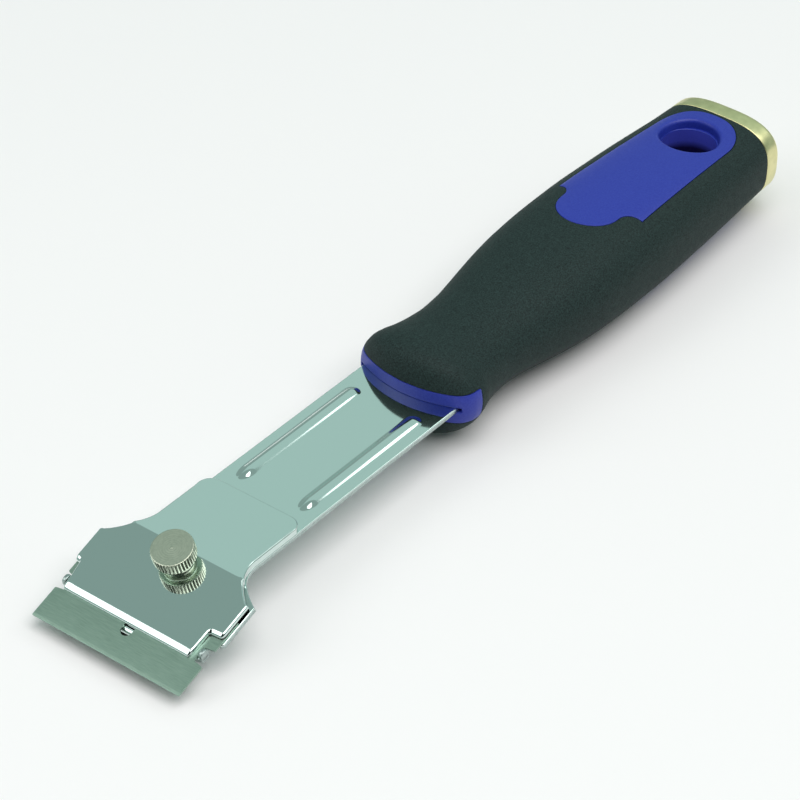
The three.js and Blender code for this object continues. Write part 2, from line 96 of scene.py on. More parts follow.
CLAMP_TOP, CLAMP_SHEET, CLAMP_FOOT = 1.6, 0.8, 0.1
CLAMP_REAR, CLAMP_NECK_HALF = 20.9, 12.5
CLAMP_HALF_LEFT, CLAMP_HALF_RIGHT = 19.48, 18.95
CLAMP_FRONT_LEFT, CLAMP_FRONT_RIGHT = 17.45, 15.7
CLAMP_FLARE_LEFT, CLAMP_FLARE_RIGHT = 0.55, 0.1  # wider behind the lip
CLAMP_ROLL, CLAMP_LIP_ROLL, CLAMP_NOTCH_ROLL, CLAMP_REAR_ROLL = 0.5, 1.9, 1.0, 0.3
CLAMP_BACK, CLAMP_SHOULDER_X = -3.7, 5.6
CLAMP_NOTCH, CLAMP_FRONT = -12.5, -19.1
CLAMP_CORNER, CLAMP_SLOT_BACK, CLAMP_LIP_FOOT = 3.2, -4.2, 0.55
CLAMP_BORE_R = 2.3

SCREW_X = -2.8
SCREW_BASE = CLAMP_TOP + 0.1
SCREW_NECK_R, SCREW_NECK_H = 3.3, 1.85
KNURL_R, KNURL_H, KNURL_COUNT, KNURL_DEPTH = 4.55, 3.05, 40, 0.24
TOOTH_STEPS = 8  # points round one tooth
KNURL_RINGS = (13, 18)  # rows of the screw's faces that lie on the side of its knurl
STEM_R, STEM_END, THREAD_PITCH = 1.98, -4.6, 0.7
NUT_R, NUT_TOP, NUT_BOTTOM, NUT_BORE_R = 2.75, -SHEET - 0.1, -4.2, 2.05

GRIP_REAR = 188.6
SKIN_INSET = 0.03  # keeps the skin just inside its design size
SKIN_EDGE, SKIN_DEPTH = 0.22, 1.6  # rounding of the grip's open edges, and its thickness
BAND_HALF, BAND_BACK, BAND_CORNER, BAND_DEPTH = 3.6, 77.5, 1.2, 1.5
BAND_LENGTH = 20.6  # from the nose to the rear end of the bare collar, round its plan
CORE_FRONT, CORE_REAR, CORE_INSET = 76.0, 164.0, 1.75
SLOT_HALF, SLOT_HALF_H = 13.6, 0.78  # mouth of the collar's slot for the shank
HANG_X, HANG_RIM_R, HANG_R = 176.8, 8.0, 7.05
NOSE_X, NOSE_R = 136.8, 7.6  # round front of the bare inlay
SCALLOP_X, SCALLOP_R = 137.3, 3.8  # bites of the grip into its front corners
INLAY_HALF = NOSE_R + SCALLOP_R
INLAY_REAR_HALF, INLAY_REAR_LENGTH, INLAY_REAR_POWER = 10.0, 11.1, 2.3
COLLAR_BOW = 26.0  # radius of the collar's round front, in plan
BORE_SHADE_TOP_Z, BORE_SHADE_DEEP_Z = 6.4, 1.6  # painted shade darkens the wall of the hang hole between these heights
LEDGE_DEPTH, LEDGE_STEP = 2.9, 0.3  # of the ledge in the hang hole
AROUND_MM = 14.0  # mean radius of the handle, which turns polar angles into millimetres
MID_Z = -SHEET / 2

CAMERA_AT, CAMERA_TARGET = (-375.76, -335.0, 421.6), (66.52, -1.42, 0.0)
CAMERA_LENS, CAMERA_ROLL = 148.95, math.radians(1.17)

# Handle sections: x, half width, half height, centre height above the mid plane,
# superellipse power, share of the collar's plan bow.
SECTIONS = np.array([
    (68.7, 12.8, 3.8, 0.0, 2.6, 1.0),
    (68.8, 13.6, 5.2, 0.0, 2.5, 1.0),
    (69.2, 14.3, 7.0, 0.0, 2.4, 1.0),
    (70.0, 14.8, 8.6, 0.0, 2.3, 1.0),
    (71.3, 15.1, 9.7, 0.0, 2.3, 1.0),
    (73.0, 15.1, 10.2, 0.0, 2.3, 1.0),
    (75.5, 14.8, 10.2, 0.1, 2.2, 0.95),
    (79.0, 14.0, 9.9, 0.1, 2.2, 0.75),
    (84.0, 13.3, 9.4, 0.15, 2.2, 0.45),
    (90.0, 12.9, 9.2, 0.15, 2.2, 0.15),
    (96.0, 13.25, 9.4, 0.15, 2.2, 0.0),
    (102.0, 14.1, 9.95, 0.15, 2.25, 0.0),
    (108.0, 15.1, 10.6, 0.2, 2.3, 0.0),
    (114.0, 15.95, 11.15, 0.3, 2.35, 0.0),
    (122.0, 16.7, 11.65, 0.45, 2.4, 0.0),
    (131.0, 16.95, 11.9, 0.65, 2.5, 0.0),
    (142.0, 16.9, 11.85, 0.8, 2.6, 0.0),
    (156.0, 16.4, 11.4, 0.9, 2.7, 0.0),
    (170.0, 15.75, 10.6, 1.0, 2.8, 0.0),
    (180.0, 15.2, 10.1, 1.0, 2.8, 0.0),
    (GRIP_REAR, 14.6, 9.8, 1.15, 2.9, 0.0),
])

# ------------------------------------------------------------------ placing
cap_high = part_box("hammer_cap")[1]
pin_low, pin_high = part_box("tang_pin_front")
origin = np.array([
    cap_high.x / MM - CAP_REAR,
    0.0,
    (pin_low.z + pin_high.z) / 2 / MM - MID_Z,
])


def to_row(points):
    """Tool millimetres to the row frame, in metres."""
    return (np.asarray(points, float) + origin) * MM


def to_head(points):
    """Points written in the flat head's own frame, turned down about the bend line."""
    p = np.asarray(points, float).reshape(-1, 3)
    c, s = math.cos(BEND), math.sin(BEND)
    return np.stack([p[:, 0] * c - p[:, 2] * s, p[:, 1], p[:, 0] * s + p[:, 2] * c], 1)


def folded(points, radius):
    """Bends a flat sheet down over the bend line, with this radius at z = 0."""
    p = np.asarray(points, float)
    start = radius * math.tan(BEND / 2)
    turn = np.clip((start - p[:, 0]) / radius, 0, BEND)
    rest = np.maximum((start - p[:, 0]) - radius * BEND, 0)
    flat = np.maximum(p[:, 0] - start, 0)
    nx, nz = -np.sin(turn), np.cos(turn)
    x = start + flat - radius * np.sin(turn) - rest * np.cos(turn) + p[:, 2] * nx
    z = radius * (np.cos(turn) - 1) - rest * np.sin(turn) + p[:, 2] * nz
    return np.stack([x, p[:, 1], z], 1)


# ------------------------------------------------------------------ outlines
def arc(cx, cy, r, start, stop, steps):
    """Points on a circle, or on an oval if r holds its two radii. Angles in degrees."""
    rx, ry = np.broadcast_to(r, 2)
    t = np.radians(np.linspace(start, stop, steps + 1))
    return np.stack([cx + rx * np.cos(t), cy + ry * np.sin(t)], 1)


def full_circle(x, r, steps):
    """A closed circle round this x on the centre line."""
    return arc(x, 0, r, 0, 360, steps)[:-1]


def bezier(p0, p1, p2, p3, steps):
    """Points on a cubic curve."""
    t = np.linspace(0, 1, steps + 1)[:, None]
    p0, p1, p2, p3 = (np.array(p, float) for p in (p0, p1, p2, p3))
    return (1 - t) ** 3 * p0 + 3 * (1 - t) ** 2 * t * p1 + 3 * (1 - t) * t ** 2 * p2 + t ** 3 * p3


def corner(point, before, after, r, steps=6):
    """A rounded corner at point, between the points before and after it."""
    p, a, b = (np.array(v, float) for v in (point, before, after))
    u, v = (a - p) / np.linalg.norm(a - p), (b - p) / np.linalg.norm(b - p)
    half = math.acos(np.clip(u @ v, -1, 1)) / 2
    reach = r / math.tan(half)
    start, stop = p + u * reach, p + v * reach
    centre = p + (u + v) / np.linalg.norm(u + v) * (r / math.sin(half))
    t = np.linspace(0, 1, steps + 1)[:, None]
    swing = (start - centre) * (1 - t) + (stop - centre) * t
    return centre + swing / np.linalg.norm(swing, axis=1)[:, None] * r


def rounded(points):
    """An open run of (x, y, radius) with each inner corner rounded by its radius."""
    out = [np.array(points[0][:2], float)[None]]
    for k in range(1, len(points) - 1):
        x, y, r = points[k]
        if r:
            out.append(corner((x, y), points[k - 1][:2], points[k + 1][:2], r))
        else:
            out.append(np.array([[x, y]], float))
    out.append(np.array(points[-1][:2], float)[None])
    return np.concatenate(out)


def without_repeats(loop, least=1e-6):
    """A closed loop without the points that lie on the one after them."""
    return loop[np.linalg.norm(np.roll(loop, -1, 0) - loop, axis=1) > least]


def both_sides(side, other=None):
    """Closes an outline from its side at y > 0, and the other side if that one differs."""
    other = side if other is None else other
    return without_repeats(np.concatenate([side, other[::-1] * (1, -1)]))


def denser(loop, pitch):
    """Adds points to the long edges of a closed loop, and rounds off all of them."""
    out = []
    for a, b in zip(loop, np.roll(loop, -1, 0)):
        n = max(1, int(np.linalg.norm(b - a) / pitch))
        out.append(a + (b - a) * np.linspace(0, 1, n, endpoint=False)[:, None])
    return np.round(np.concatenate(out), 6)


def cut_at(loop, xs):
    """Adds points to a closed loop where it crosses these x values."""
    out = []
    for a, b in zip(loop, np.roll(loop, -1, 0)):
        out.append(a[None])
        run = b[0] - a[0]
        if abs(run) < 1e-9:
            continue
        shares = sorted((x - a[0]) / run for x in xs)
        inner = [t for t in shares if 1e-3 < t < 1 - 1e-3]
        out += [(a + (b - a) * t)[None] for t in inner]
    return np.concatenate(out)


def area(loop):
    """Signed area, positive when the loop runs anticlockwise."""
    x, y = loop[:, 0], loop[:, 1]
    return float(x @ np.roll(y, -1) - y @ np.roll(x, -1)) / 2


def inward(loop, reach=(1.0, 1.0)):
    """Mitred offsets that point into the sheet, this far along x and y.

    The mitres are found in a space where the two reaches are the same, so that a
    corner of that shape rolls evenly.
    """
    reach = np.broadcast_to(np.asarray(reach, float), loop.shape)
    sides = []
    for other in (-1, 1):
        edge = (np.roll(loop, -other, 0) - loop) * other / reach
        edge /= np.linalg.norm(edge, axis=1)[:, None]
        sides.append(np.stack([-edge[:, 1], edge[:, 0]], 1) * math.copysign(1, area(loop)))
    lean = 1 + np.sum(sides[0] * sides[1], 1)
    return (sides[0] + sides[1]) / np.maximum(lean, 0.35)[:, None] * reach


def inside(points, loop):
    """Even-odd test of points against a closed loop."""
    px, py = points[:, 0][:, None], points[:, 1][:, None]
    ax, ay = loop[:, 0], loop[:, 1]
    bx, by = np.roll(ax, -1), np.roll(ay, -1)
    crosses = (ay > py) != (by > py)
    with np.errstate(divide="ignore", invalid="ignore"):
        at = (bx - ax) * (py - ay) / (by - ay) + ax
    return (np.sum(crosses & (px < at), 1) % 2) == 1


# ------------------------------------------------------------------ meshes
def triangulate(borders, guides=(), loose=None):
    """Triangles between an outer border and the holes that follow it in the list.

    Every argument holds points whose first two columns are the plane they lie in.
    Returns the points of all arguments in order, and the triangles.
    """
    loops = list(borders) + list(guides)
    groups = loops + ([loose] if loose is not None and len(loose) else [])
    points = np.concatenate(groups)
    edges, at = [], 0
    for loop in loops:
        n = len(loop)
        edges += [(at + k, at + (k + 1) % n) for k in range(n)]
        at += n
    flat = [Vector((float(p[0]), float(p[1]))) for p in points]
    _, _, faces, origins, _, _ = delaunay_2d_cdt(flat, edges, [], 0, 1e-6)
    source = [o[0] if o else -1 for o in origins]
    tris = np.array([[source[i] for i in f] for f in faces if len(f) == 3])
    tris = tris[np.all(tris >= 0, 1)]
    middle = points[tris][:, :, :2].mean(1)
    keep = inside(middle, borders[0][:, :2])
    for hole in borders[1:]:
        keep &= ~inside(middle, hole[:, :2])
    tris = tris[keep]
    a, b, c = (points[tris[:, k], :2] for k in range(3))
    turn = (b[:, 0] - a[:, 0]) * (c[:, 1] - a[:, 1]) - (b[:, 1] - a[:, 1]) * (c[:, 0] - a[:, 0])
    tris[turn < 0] = tris[turn < 0][:, ::-1]
    return points, tris


def raised(loop, z):
    """A flat loop given heights."""
    return np.column_stack([loop[:, :2], np.broadcast_to(z, len(loop))])


def rolled(loop, widths, drop, z, steps=5, lean=0.0):
    """Rings from the border inwards that round an edge, the border first.

    widths is the roll's reach along x and y, drop its height, and lean turns the
    round into a slope. The last ring is just past the roll, so that the shading of
    the flat face stays flat.
    """
    offset = inward(loop, widths)
    rings = []
    for f in np.linspace(0, 1, steps + 1) ** 1.5:
        fall = drop * (1 - np.sqrt(np.maximum(0, 1 - (1 - f) ** 2)))
        fall = fall * (1 - lean) + lean * drop * (1 - f) ** 1.25
        rings.append(raised(loop + offset * f, z - fall))
    rings.append(raised(loop + offset * (1 + ROLL_GUARD), z))
    return rings


def turn_angles(steps):
    """Angles of equal steps round a full turn."""
    return np.arange(steps) * 2 * math.pi / steps


def strip(a, b):
    """Quads between two closed rows of point numbers."""
    rows = (a, np.roll(a, -1), np.roll(b, -1), b)
    return [tuple(int(i) for i in quad) for quad in zip(*rows)]


def fan(pole, row):
    """Triangles between one point and a closed row of point numbers."""
    return [(pole, int(i), int(j)) for i, j in zip(row, np.roll(row, -1))]


def plate(top, bottom):
    """Closes two triangulated faces that share their borders. Each is (borders, guides, loose)."""
    points, faces, starts = [], [], []
    for side, (borders, guides, loose) in enumerate((top, bottom)):
        p, tris = triangulate(borders, guides, loose)
        starts.append(sum(len(q) for q in points))
        points.append(p)
        faces += [tuple(int(i) + starts[-1] for i in (t[::-1] if side else t)) for t in tris]
    at = 0
    for k, border in enumerate(top[0]):
        rows = [np.arange(len(border)) + at + start for start in starts]
        clockwise = (area(border[:, :2]) < 0) != (k > 0)
        faces += strip(*rows) if clockwise else strip(*rows[::-1])
        at += len(border)
    return np.concatenate(points), faces


def capped(rings, first, last):
    """A stack of closed rings of points, with a point that closes either end."""
    count = len(rings[0])
    rows = 1 + np.arange(len(rings) * count).reshape(-1, count)
    faces = fan(0, rows[0][::-1])
    for a, b in zip(rows, rows[1:]):
        faces += strip(a, b)
    faces += fan(int(rows[-1][-1]) + 1, rows[-1])
    return np.concatenate([[first], *rings, [last]]), faces


def lathe(profile, segments, x, shape):
    """Turns (r, z) points from the bottom to the top of the vertical axis at this x.

    shape(r, z, angles) gives the radii round each ring.
    """
    t = turn_angles(segments)
    rings = []
    for r, z in profile[1:-1]:
        radius = shape(r, z, t)
        rings.append(np.stack([x + radius * np.cos(t), radius * np.sin(t), np.full(segments, z)], 1))
    return capped(rings, (x, 0, profile[0][1]), (x, 0, profile[-1][1]))


def ring_lathe(profile, segments, x):
    """Turns a closed (r, z) outline about the vertical axis at this x."""
    points = [
        (x + r * math.cos(a), r * math.sin(a), z) for r, z in profile for a in turn_angles(segments)
    ]
    rows = np.arange(len(points)).reshape(-1, segments)
    faces = [quad for a, b in zip(rows, np.roll(rows, -1, 0)) for quad in strip(a, b)]
    return np.array(points), faces


def joined(*meshes):
    """Several meshes as one."""
    points, faces, at = [], [], 0
    for p, f in meshes:
        points.append(np.asarray(p, float))
        faces += [tuple(i + at for i in face) for face in f]
        at += len(p)
    return np.concatenate(points), faces


def without_loose(points, faces):
    """Drops the points that no face uses."""
    used = np.unique(np.concatenate([np.asarray(f, int) for f in faces]))
    place = np.full(len(points), -1)
    place[used] = np.arange(len(used))
    return np.asarray(points, float)[used], [tuple(int(place[i]) for i in f) for f in faces]


def add_piece(name, mesh, material, body, replaced, sharp, others=()):
    """Makes the object, smooth but for edges sharper than this angle in degrees.

    others are further materials, each with a test that picks its faces by number,
    number of corners and mean point.
    """
    points, faces = without_loose(*mesh)
    data = bpy.data.meshes.new(name)
    data.from_pydata([tuple(p) for p in to_row(points)], [], faces)
    data.validate()
    data.update()
    data.materials.append(material)
    for place, (other, picks) in enumerate(others, 1):
        data.materials.append(other)
        for face in data.polygons:
            if picks(face.index, len(face.vertices), np.array(face.center) / MM - origin):
                face.material_index = place
    data.polygons.foreach_set("use_smooth", [True] * len(data.polygons))
    data.set_sharp_from_angle(angle=math.radians(sharp))
    piece = bpy.data.objects.new(name, data)
    bpy.context.scene.collection.objects.link(piece)
    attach(piece, body)
    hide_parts(replaced)


# ------------------------------------------------------------------ shank
def rib_height(reach):
    """Height of a pressed rib at this share of its half width."""
    return RIB_H * np.clip(1 - np.minimum(reach, 1) ** 2.2, 0, 1) ** 1.7


def rib_rings(side, base, share):
    """Height contours of one rib, from its middle line out to just past its foot."""
    rings = []
    shares = list(np.linspace(0.06, 1, 13)) + [1.05]
    for reach in shares:
        r = RIB_HALF * reach
        x0, x1 = RIB_X0 + RIB_HALF * RIB_RUN_OUT, RIB_X1 - RIB_HALF
        loop = np.concatenate([
            arc(x1, 0, r, -90, 90, 14),
            arc(x0, 0, (r * RIB_RUN_OUT, r), 90, 270, 18),
        ])
        loop = denser(loop, 3.0) + (0, side * RIB_Y)
        rings.append(raised(loop, base + share * rib_height(reach)))
    return rings


def bend_lines(radius):
    """x of the lines across the flat sheet between which it bends."""
    start = radius * math.tan(BEND / 2)
    xs = np.linspace(start, start - radius * BEND, 7)
    return np.concatenate([[xs[0] + 0.06], xs, [xs[-1] - 0.06]])


def bend_rows(radius, z, border):
    """Points at even steps round the bend, across the sheet inside this border."""
    ys = np.arange(-HEAD_HALF, HEAD_HALF, 0.8)
    grid = np.array([(x, y) for x in bend_lines(radius) for y in ys])
    clear = np.hypot(grid[:, 0] - SCREW_X, grid[:, 1]) > CLAMP_BORE_R + 0.3
    grid = grid[clear & inside(grid, border)]
    return raised(grid[distance(grid, border) > 0.15], z)


def shank_outline():
    """The flat sheet: tang, neck, shoulders, head, the feet of the ears, and tongue."""
    shoulder = bezier(
        (SHOULDER_X, NECK_HALF), (SHOULDER_X - 4.4, NECK_HALF + 0.1),
        (HEAD_BACK + 2.1, NECK_HALF + 3), (HEAD_BACK, HEAD_HALF), 36,
    )
    start = rounded([
        (TANG_END, TANG_HALF, 0), (TANG_START, TANG_HALF, 0.6),
        (TANG_START, NECK_HALF, 0.8), (SHOULDER_X, NECK_HALF, 0),
    ])
    head = rounded([
        tuple(shoulder[-1]) + (0,),
        (HEAD_BACK - 0.4, HEAD_HALF, 0.36),
        (HEAD_FRONT, HEAD_HALF, 0.9),
        (HEAD_FRONT, EAR_NECK, 0.35),
        (EAR_BACK, EAR_NECK, 0.25),
        (EAR_BACK, EAR_OUTER + EAR_SHIFT, 0.34),
        (EAR_FRONT, EAR_OUTER + EAR_SHIFT, 0.35),
        (EAR_FRONT - 0.4, TONGUE_HALF, 0.3),
        (TONGUE_FRONT + TONGUE_CORNER[0], TONGUE_HALF, 0),
    ])[:-1]
    end = arc(
        TONGUE_FRONT + TONGUE_CORNER[0], TONGUE_HALF - TONGUE_CORNER[1], TONGUE_CORNER, 90, 180, 10,
    )
    loop = both_sides(np.concatenate([start[:-1], shoulder, head[1:], end]))
    under_right_ear = (loop[:, 1] < -EAR_OUTER) & (loop[:, 0] < EAR_BACK + 0.5)
    loop[under_right_ear, 1] += EAR_SHIFT
    return loop


def shank_mesh():
    """The bent sheet without its ears, with rolled edges and two pressed ribs."""
    loop = cut_at(denser(shank_outline(), 2.5), bend_lines(SHANK_BEND_R))
    ahead = (inward(loop)[:, 0] > 1e-6) & (loop[:, 0] < EAR_FRONT - 1)
    widths = np.stack([SHEET_ROLL + TONGUE_ROLL * ahead, np.full(len(loop), SHEET_ROLL)], 1)
    front = np.clip(inward(loop, widths)[:, 0] / widths[:, 0], 0, 1) * ahead
    drop = SHEET_ROLL + TONGUE_DROP * front
    bore = full_circle(SCREW_X, CLAMP_BORE_R, 48)
    top_rings = rolled(loop, widths, drop, 0.0, lean=front * 0.5)
    low_rings = rolled(loop, (0.1, 0.1), 0.1, 0.0, steps=2)
    ribs_up = [ring for side in (1, -1) for ring in rib_rings(side, 0.0, 1.0)]
    ribs_down = [ring for side in (1, -1) for ring in rib_rings(side, -SHEET, RIB_UNDER)]
    rows = bend_rows(SHANK_BEND_R, 0.0, top_rings[-1][:, :2])
    top = ([top_rings[0], raised(bore, 0.0)], top_rings[1:] + ribs_up, rows)
    below = [raised(r - np.outer(front, (TONGUE_BEVEL, 0, 0)), -SHEET - r[:, 2]) for r in low_rings]
    bottom = ([below[0], raised(bore, -SHEET)], below[1:] + ribs_down, raised(rows, -SHEET))
    points, faces = plate(top, bottom)
    return folded(points, SHANK_BEND_R), faces


def ear_mesh(side):
    """One upturned ear at a notch of the blade."""
    mid, half = (EAR_BACK + EAR_FRONT) / 2, (EAR_BACK - EAR_FRONT) / 2
    crown, foot = half * 0.75, -SHEET * 0.6
    arch = arc(mid, EAR_TOP - crown, (half, crown), 0, 180, 14)
    loop = np.concatenate([[(mid + half, foot)], arch, [(mid - half, foot)]])
    loop = denser(loop, 0.6)
    thick = EAR_OUTER - EAR_INNER
    rings = rolled(loop, (0.2, 0.2), 0.2, thick, steps=4)
    back = [raised(r, thick - r[:, 2]) for r in rings]
    points, faces = plate(([rings[0]], rings[1:], None), ([back[0]], back[1:], None))
    x, z, y = points[:, 0], points[:, 1], points[:, 2]
    y = (EAR_INNER + y) * side + EAR_SHIFT * (side > 0)
    faces = faces if side < 0 else [f[::-1] for f in faces]
    return to_head(np.stack([x, y, z], 1)), faces


# ------------------------------------------------------------------ clamp plate
def clamp_side(half, front_half, flare):
    """One side of the clamp's outline, from the middle of its rear to the middle of its lip."""
    reach, side_reach = CLAMP_LIP_ROLL * CORNER_EASE, CLAMP_ROLL * CORNER_EASE
    neck = np.concatenate([
        arc(CLAMP_REAR - CLAMP_CORNER, CLAMP_NECK_HALF - CLAMP_CORNER, CLAMP_CORNER, 0, 90, 12),
        bezier(
            (CLAMP_SHOULDER_X, CLAMP_NECK_HALF), (CLAMP_SHOULDER_X - 4, CLAMP_NECK_HALF),
            (CLAMP_BACK + 2, CLAMP_NECK_HALF + 3), (CLAMP_BACK, half - 0.9), 34,
        ),
    ])
    behind = rounded([
        tuple(neck[-1]) + (0,), (CLAMP_BACK - 0.35, half, 0.55), (CLAMP_NOTCH + 3, half, 0),
    ])[1:]
    notch = arc(CLAMP_NOTCH + 1.2, half - 0.6, (1.2, 0.6), 90, 180, 8)
    inner = rounded([
        tuple(notch[-1]) + (0,),
        (CLAMP_NOTCH - 0.2, front_half + flare, 0.5),
        (CLAMP_NOTCH - 3.4, front_half, 0),
    ])[1:]
    front = arc(CLAMP_FRONT + reach, front_half - side_reach, (reach, side_reach), 90, 180, 10)
    return np.concatenate([neck, behind, notch, inner, front])


def clamp_outline():
    """The pan sits a little to the left, and its right notch is cut deeper."""
    return both_sides(
        clamp_side(CLAMP_HALF_LEFT, CLAMP_FRONT_LEFT, CLAMP_FLARE_LEFT),
        clamp_side(CLAMP_HALF_RIGHT, CLAMP_FRONT_RIGHT, CLAMP_FLARE_RIGHT),
    )


def clamp_rolls(loop):
    """Reach along x and y, drop and slope of the rolled edge round the outline."""
    x, into = loop[:, 0], inward(loop)[:, 0]
    at_lip = (into > 1e-6) & (x < CLAMP_FRONT + CLAMP_LIP_ROLL * (CORNER_EASE + 0.05))
    at_notch = (into > 1e-6) & (np.abs(x - CLAMP_NOTCH) < 1.3)
    at_rear = (into < -1e-6) & (x > CLAMP_SHOULDER_X)
    reach = np.full(loop.shape, CLAMP_ROLL)
    reach[at_lip, 0] = CLAMP_LIP_ROLL
    reach[at_notch, 0] = CLAMP_NOTCH_ROLL
    reach[at_rear] = CLAMP_REAR_ROLL
    along = np.abs(inward(loop, reach)[:, 0] / reach[:, 0]).clip(0, 1)
    drop = CLAMP_ROLL + along * (0.4 * at_lip + 0.15 * at_notch) - 0.2 * at_rear
    return reach, drop, along * (0.2 * at_lip + 0.6 * at_notch)


def clamp_mesh():
    """Pressed pan: a rolled top, side walls down to the head, and open slots at the sides."""
    loop = cut_at(denser(clamp_outline(), 2.0), bend_lines(CLAMP_BEND_R))
    widths, drop, lean = clamp_rolls(loop)
    rings = rolled(loop, widths, drop, CLAMP_TOP, steps=9, lean=lean)
    bore = full_circle(SCREW_X, CLAMP_BORE_R, 48)
    rows = bend_rows(CLAMP_BEND_R, CLAMP_TOP, rings[-1][:, :2])
    top = ([rings[0], raised(bore, CLAMP_TOP)], rings[1:], rows)
    ceiling = CLAMP_TOP - CLAMP_SHEET
    foot = np.where(loop[:, 0] > CLAMP_SLOT_BACK, CLAMP_FOOT, ceiling)
    foot = np.where(loop[:, 0] < CLAMP_NOTCH - 1, CLAMP_LIP_FOOT, foot)
    into = inward(loop, widths)
    under = [
        raised(loop, foot),
        raised(loop + into * 0.3, foot),
        raised(loop + into, foot),
        raised(loop + into * (1 + ROLL_GUARD / 2), np.maximum(foot, ceiling - 0.1)),
        raised(loop + into * (1 + ROLL_GUARD), ceiling),
    ]
    rows = bend_rows(CLAMP_BEND_R, ceiling, under[-1][:, :2])
    bottom = ([under[0], raised(bore, ceiling)], under[1:], rows)
    points, faces = plate(top, bottom)
    return folded(points, CLAMP_BEND_R), faces


# ------------------------------------------------------------------ blade
def blade_outline():
    """Double-edged blade with a notch in each end."""
    mid = BLADE_EDGE + BLADE_DEPTH / 2
    deep = BLADE_HALF - BLADE_NOTCH_DEPTH
    side = rounded([
        (BLADE_EDGE + BLADE_DEPTH, 0, 0),
        (BLADE_EDGE + BLADE_DEPTH, BLADE_HALF, 0.12),
        (mid + BLADE_NOTCH_HALF + BLADE_NOTCH_FLARE, BLADE_HALF, 0.3),
        (mid + BLADE_NOTCH_HALF, deep, 0.5),
        (mid - BLADE_NOTCH_HALF, deep, 0.5),
        (mid - BLADE_NOTCH_HALF - BLADE_NOTCH_FLARE, BLADE_HALF, 0.3),
        (BLADE_EDGE, BLADE_HALF, 0.12),
        (BLADE_EDGE, 0, 0),
    ])[1:-1]
    return both_sides(side)


def bevel_fall(x):
    """How far each face of the blade drops towards the ground edges."""
    from_edge = np.minimum(x - BLADE_EDGE, BLADE_EDGE + BLADE_DEPTH - x)
    return BLADE_BEVEL_FALL * np.clip(1 - from_edge / BLADE_BEVEL, 0, 1)


def blade_mesh():
    """The blade with its two ground edges and its centre slot."""
    loop = denser(blade_outline(), 0.32)
    mid = BLADE_EDGE + BLADE_DEPTH / 2
    reach = BLADE_SLOT_HALF_LENGTH - BLADE_SLOT_HALF_WIDTH
    slot = np.concatenate([
        arc(mid + reach, BLADE_SLOT_Y, BLADE_SLOT_HALF_WIDTH, -90, 90, 16),
        arc(mid - reach, BLADE_SLOT_Y, BLADE_SLOT_HALF_WIDTH, 90, 270, 16),
    ])
    ys = np.arange(-BLADE_HALF + 0.3, BLADE_HALF - 0.2, 0.4)
    rear = BLADE_EDGE + BLADE_DEPTH
    lines = [
        BLADE_EDGE + BLADE_BEVEL - 0.04, BLADE_EDGE + BLADE_BEVEL + 0.02,
        rear - BLADE_BEVEL + 0.04, rear - BLADE_BEVEL - 0.02,
    ]
    grid = np.array([(x, y) for x in lines for y in ys])

    def face(sign):
        base = BLADE_TOP if sign > 0 else BLADE_BOTTOM
        borders = [raised(p, base - sign * bevel_fall(p[:, 0])) for p in (loop, slot)]
        return borders, [], raised(grid, base - sign * bevel_fall(grid[:, 0]))

    points, faces = plate(face(1), face(-1))
    return to_head(points), faces


# ------------------------------------------------------------------ thumb screw and nut
def knurl_teeth(r, z, t):
    """Straight knurl: ridges that fade where the head is chamfered."""
    base = SCREW_BASE + SCREW_NECK_H
    near_edge = min(z - base, base + KNURL_H - z)
    if near_edge < -1e-6:
        return np.full(len(t), float(r))
    on_side = np.clip((r - (KNURL_R - 0.1)) / 0.09, 0, 1)
    wave = np.abs(((t * KNURL_COUNT / (2 * math.pi)) % 1) * 2 - 1)
    cut = KNURL_DEPTH * np.clip(1.25 * wave - 0.2, 0, 1)
    return r - cut * on_side


def screw_mesh():
    """Thumb screw: stem, neck with a fillet, knurled head and its turned top face."""
    base = SCREW_BASE + SCREW_NECK_H
    top = base + KNURL_H
    lower = [(0, STEM_END), (STEM_R - 0.35, STEM_END), (STEM_R, STEM_END + 0.35)]
    lower += [(STEM_R, SCREW_BASE), (SCREW_NECK_R - 0.15, SCREW_BASE), (SCREW_NECK_R, SCREW_BASE + 0.15)]
    fillet = [(SCREW_NECK_R + 0.3 - 0.3 * math.cos(a), base - 0.3 + 0.3 * math.sin(a))
              for a in np.radians(np.linspace(0, 90, 5))]
    knurl = [
        (KNURL_R - 0.5, base), (KNURL_R - 0.22, base + 0.06), (KNURL_R - 0.05, base + 0.22),
        (KNURL_R, base + 0.4), (KNURL_R, base + KNURL_H / 2), (KNURL_R, top - 0.3),
        (KNURL_R - 0.04, top - 0.15), (KNURL_R - 0.14, top - 0.04), (KNURL_R - 0.24, top - 0.01),
        (KNURL_R - 0.36, top),
    ]
    face = []
    for r in np.linspace(KNURL_R - 0.5, 0.42, 54):
        ripple = 0.007 * math.sin(r * 2 * math.pi / 0.5) + 0.05 * max(0.0, 1 - r / 3.2) ** 2
        face.append((r, top + ripple))
    nub = [(0.3, top + 0.05), (0.16, top + 0.075), (0, top + 0.08)]
    profile = lower + fillet + knurl + face + nub
    points, faces = lathe(profile, KNURL_COUNT * TOOTH_STEPS, SCREW_X, knurl_teeth)
    return to_head(points), faces


def in_groove(index, corners, middle):
    """Whether a face of the thumb screw lies in a groove of its knurl."""
    ring, place = divmod(index, KNURL_COUNT * TOOTH_STEPS)
    low_part = place % TOOTH_STEPS in (0, 1, TOOTH_STEPS - 2, TOOTH_STEPS - 1)
    return corners == 4 and KNURL_RINGS[0] <= ring < KNURL_RINGS[1] and low_part


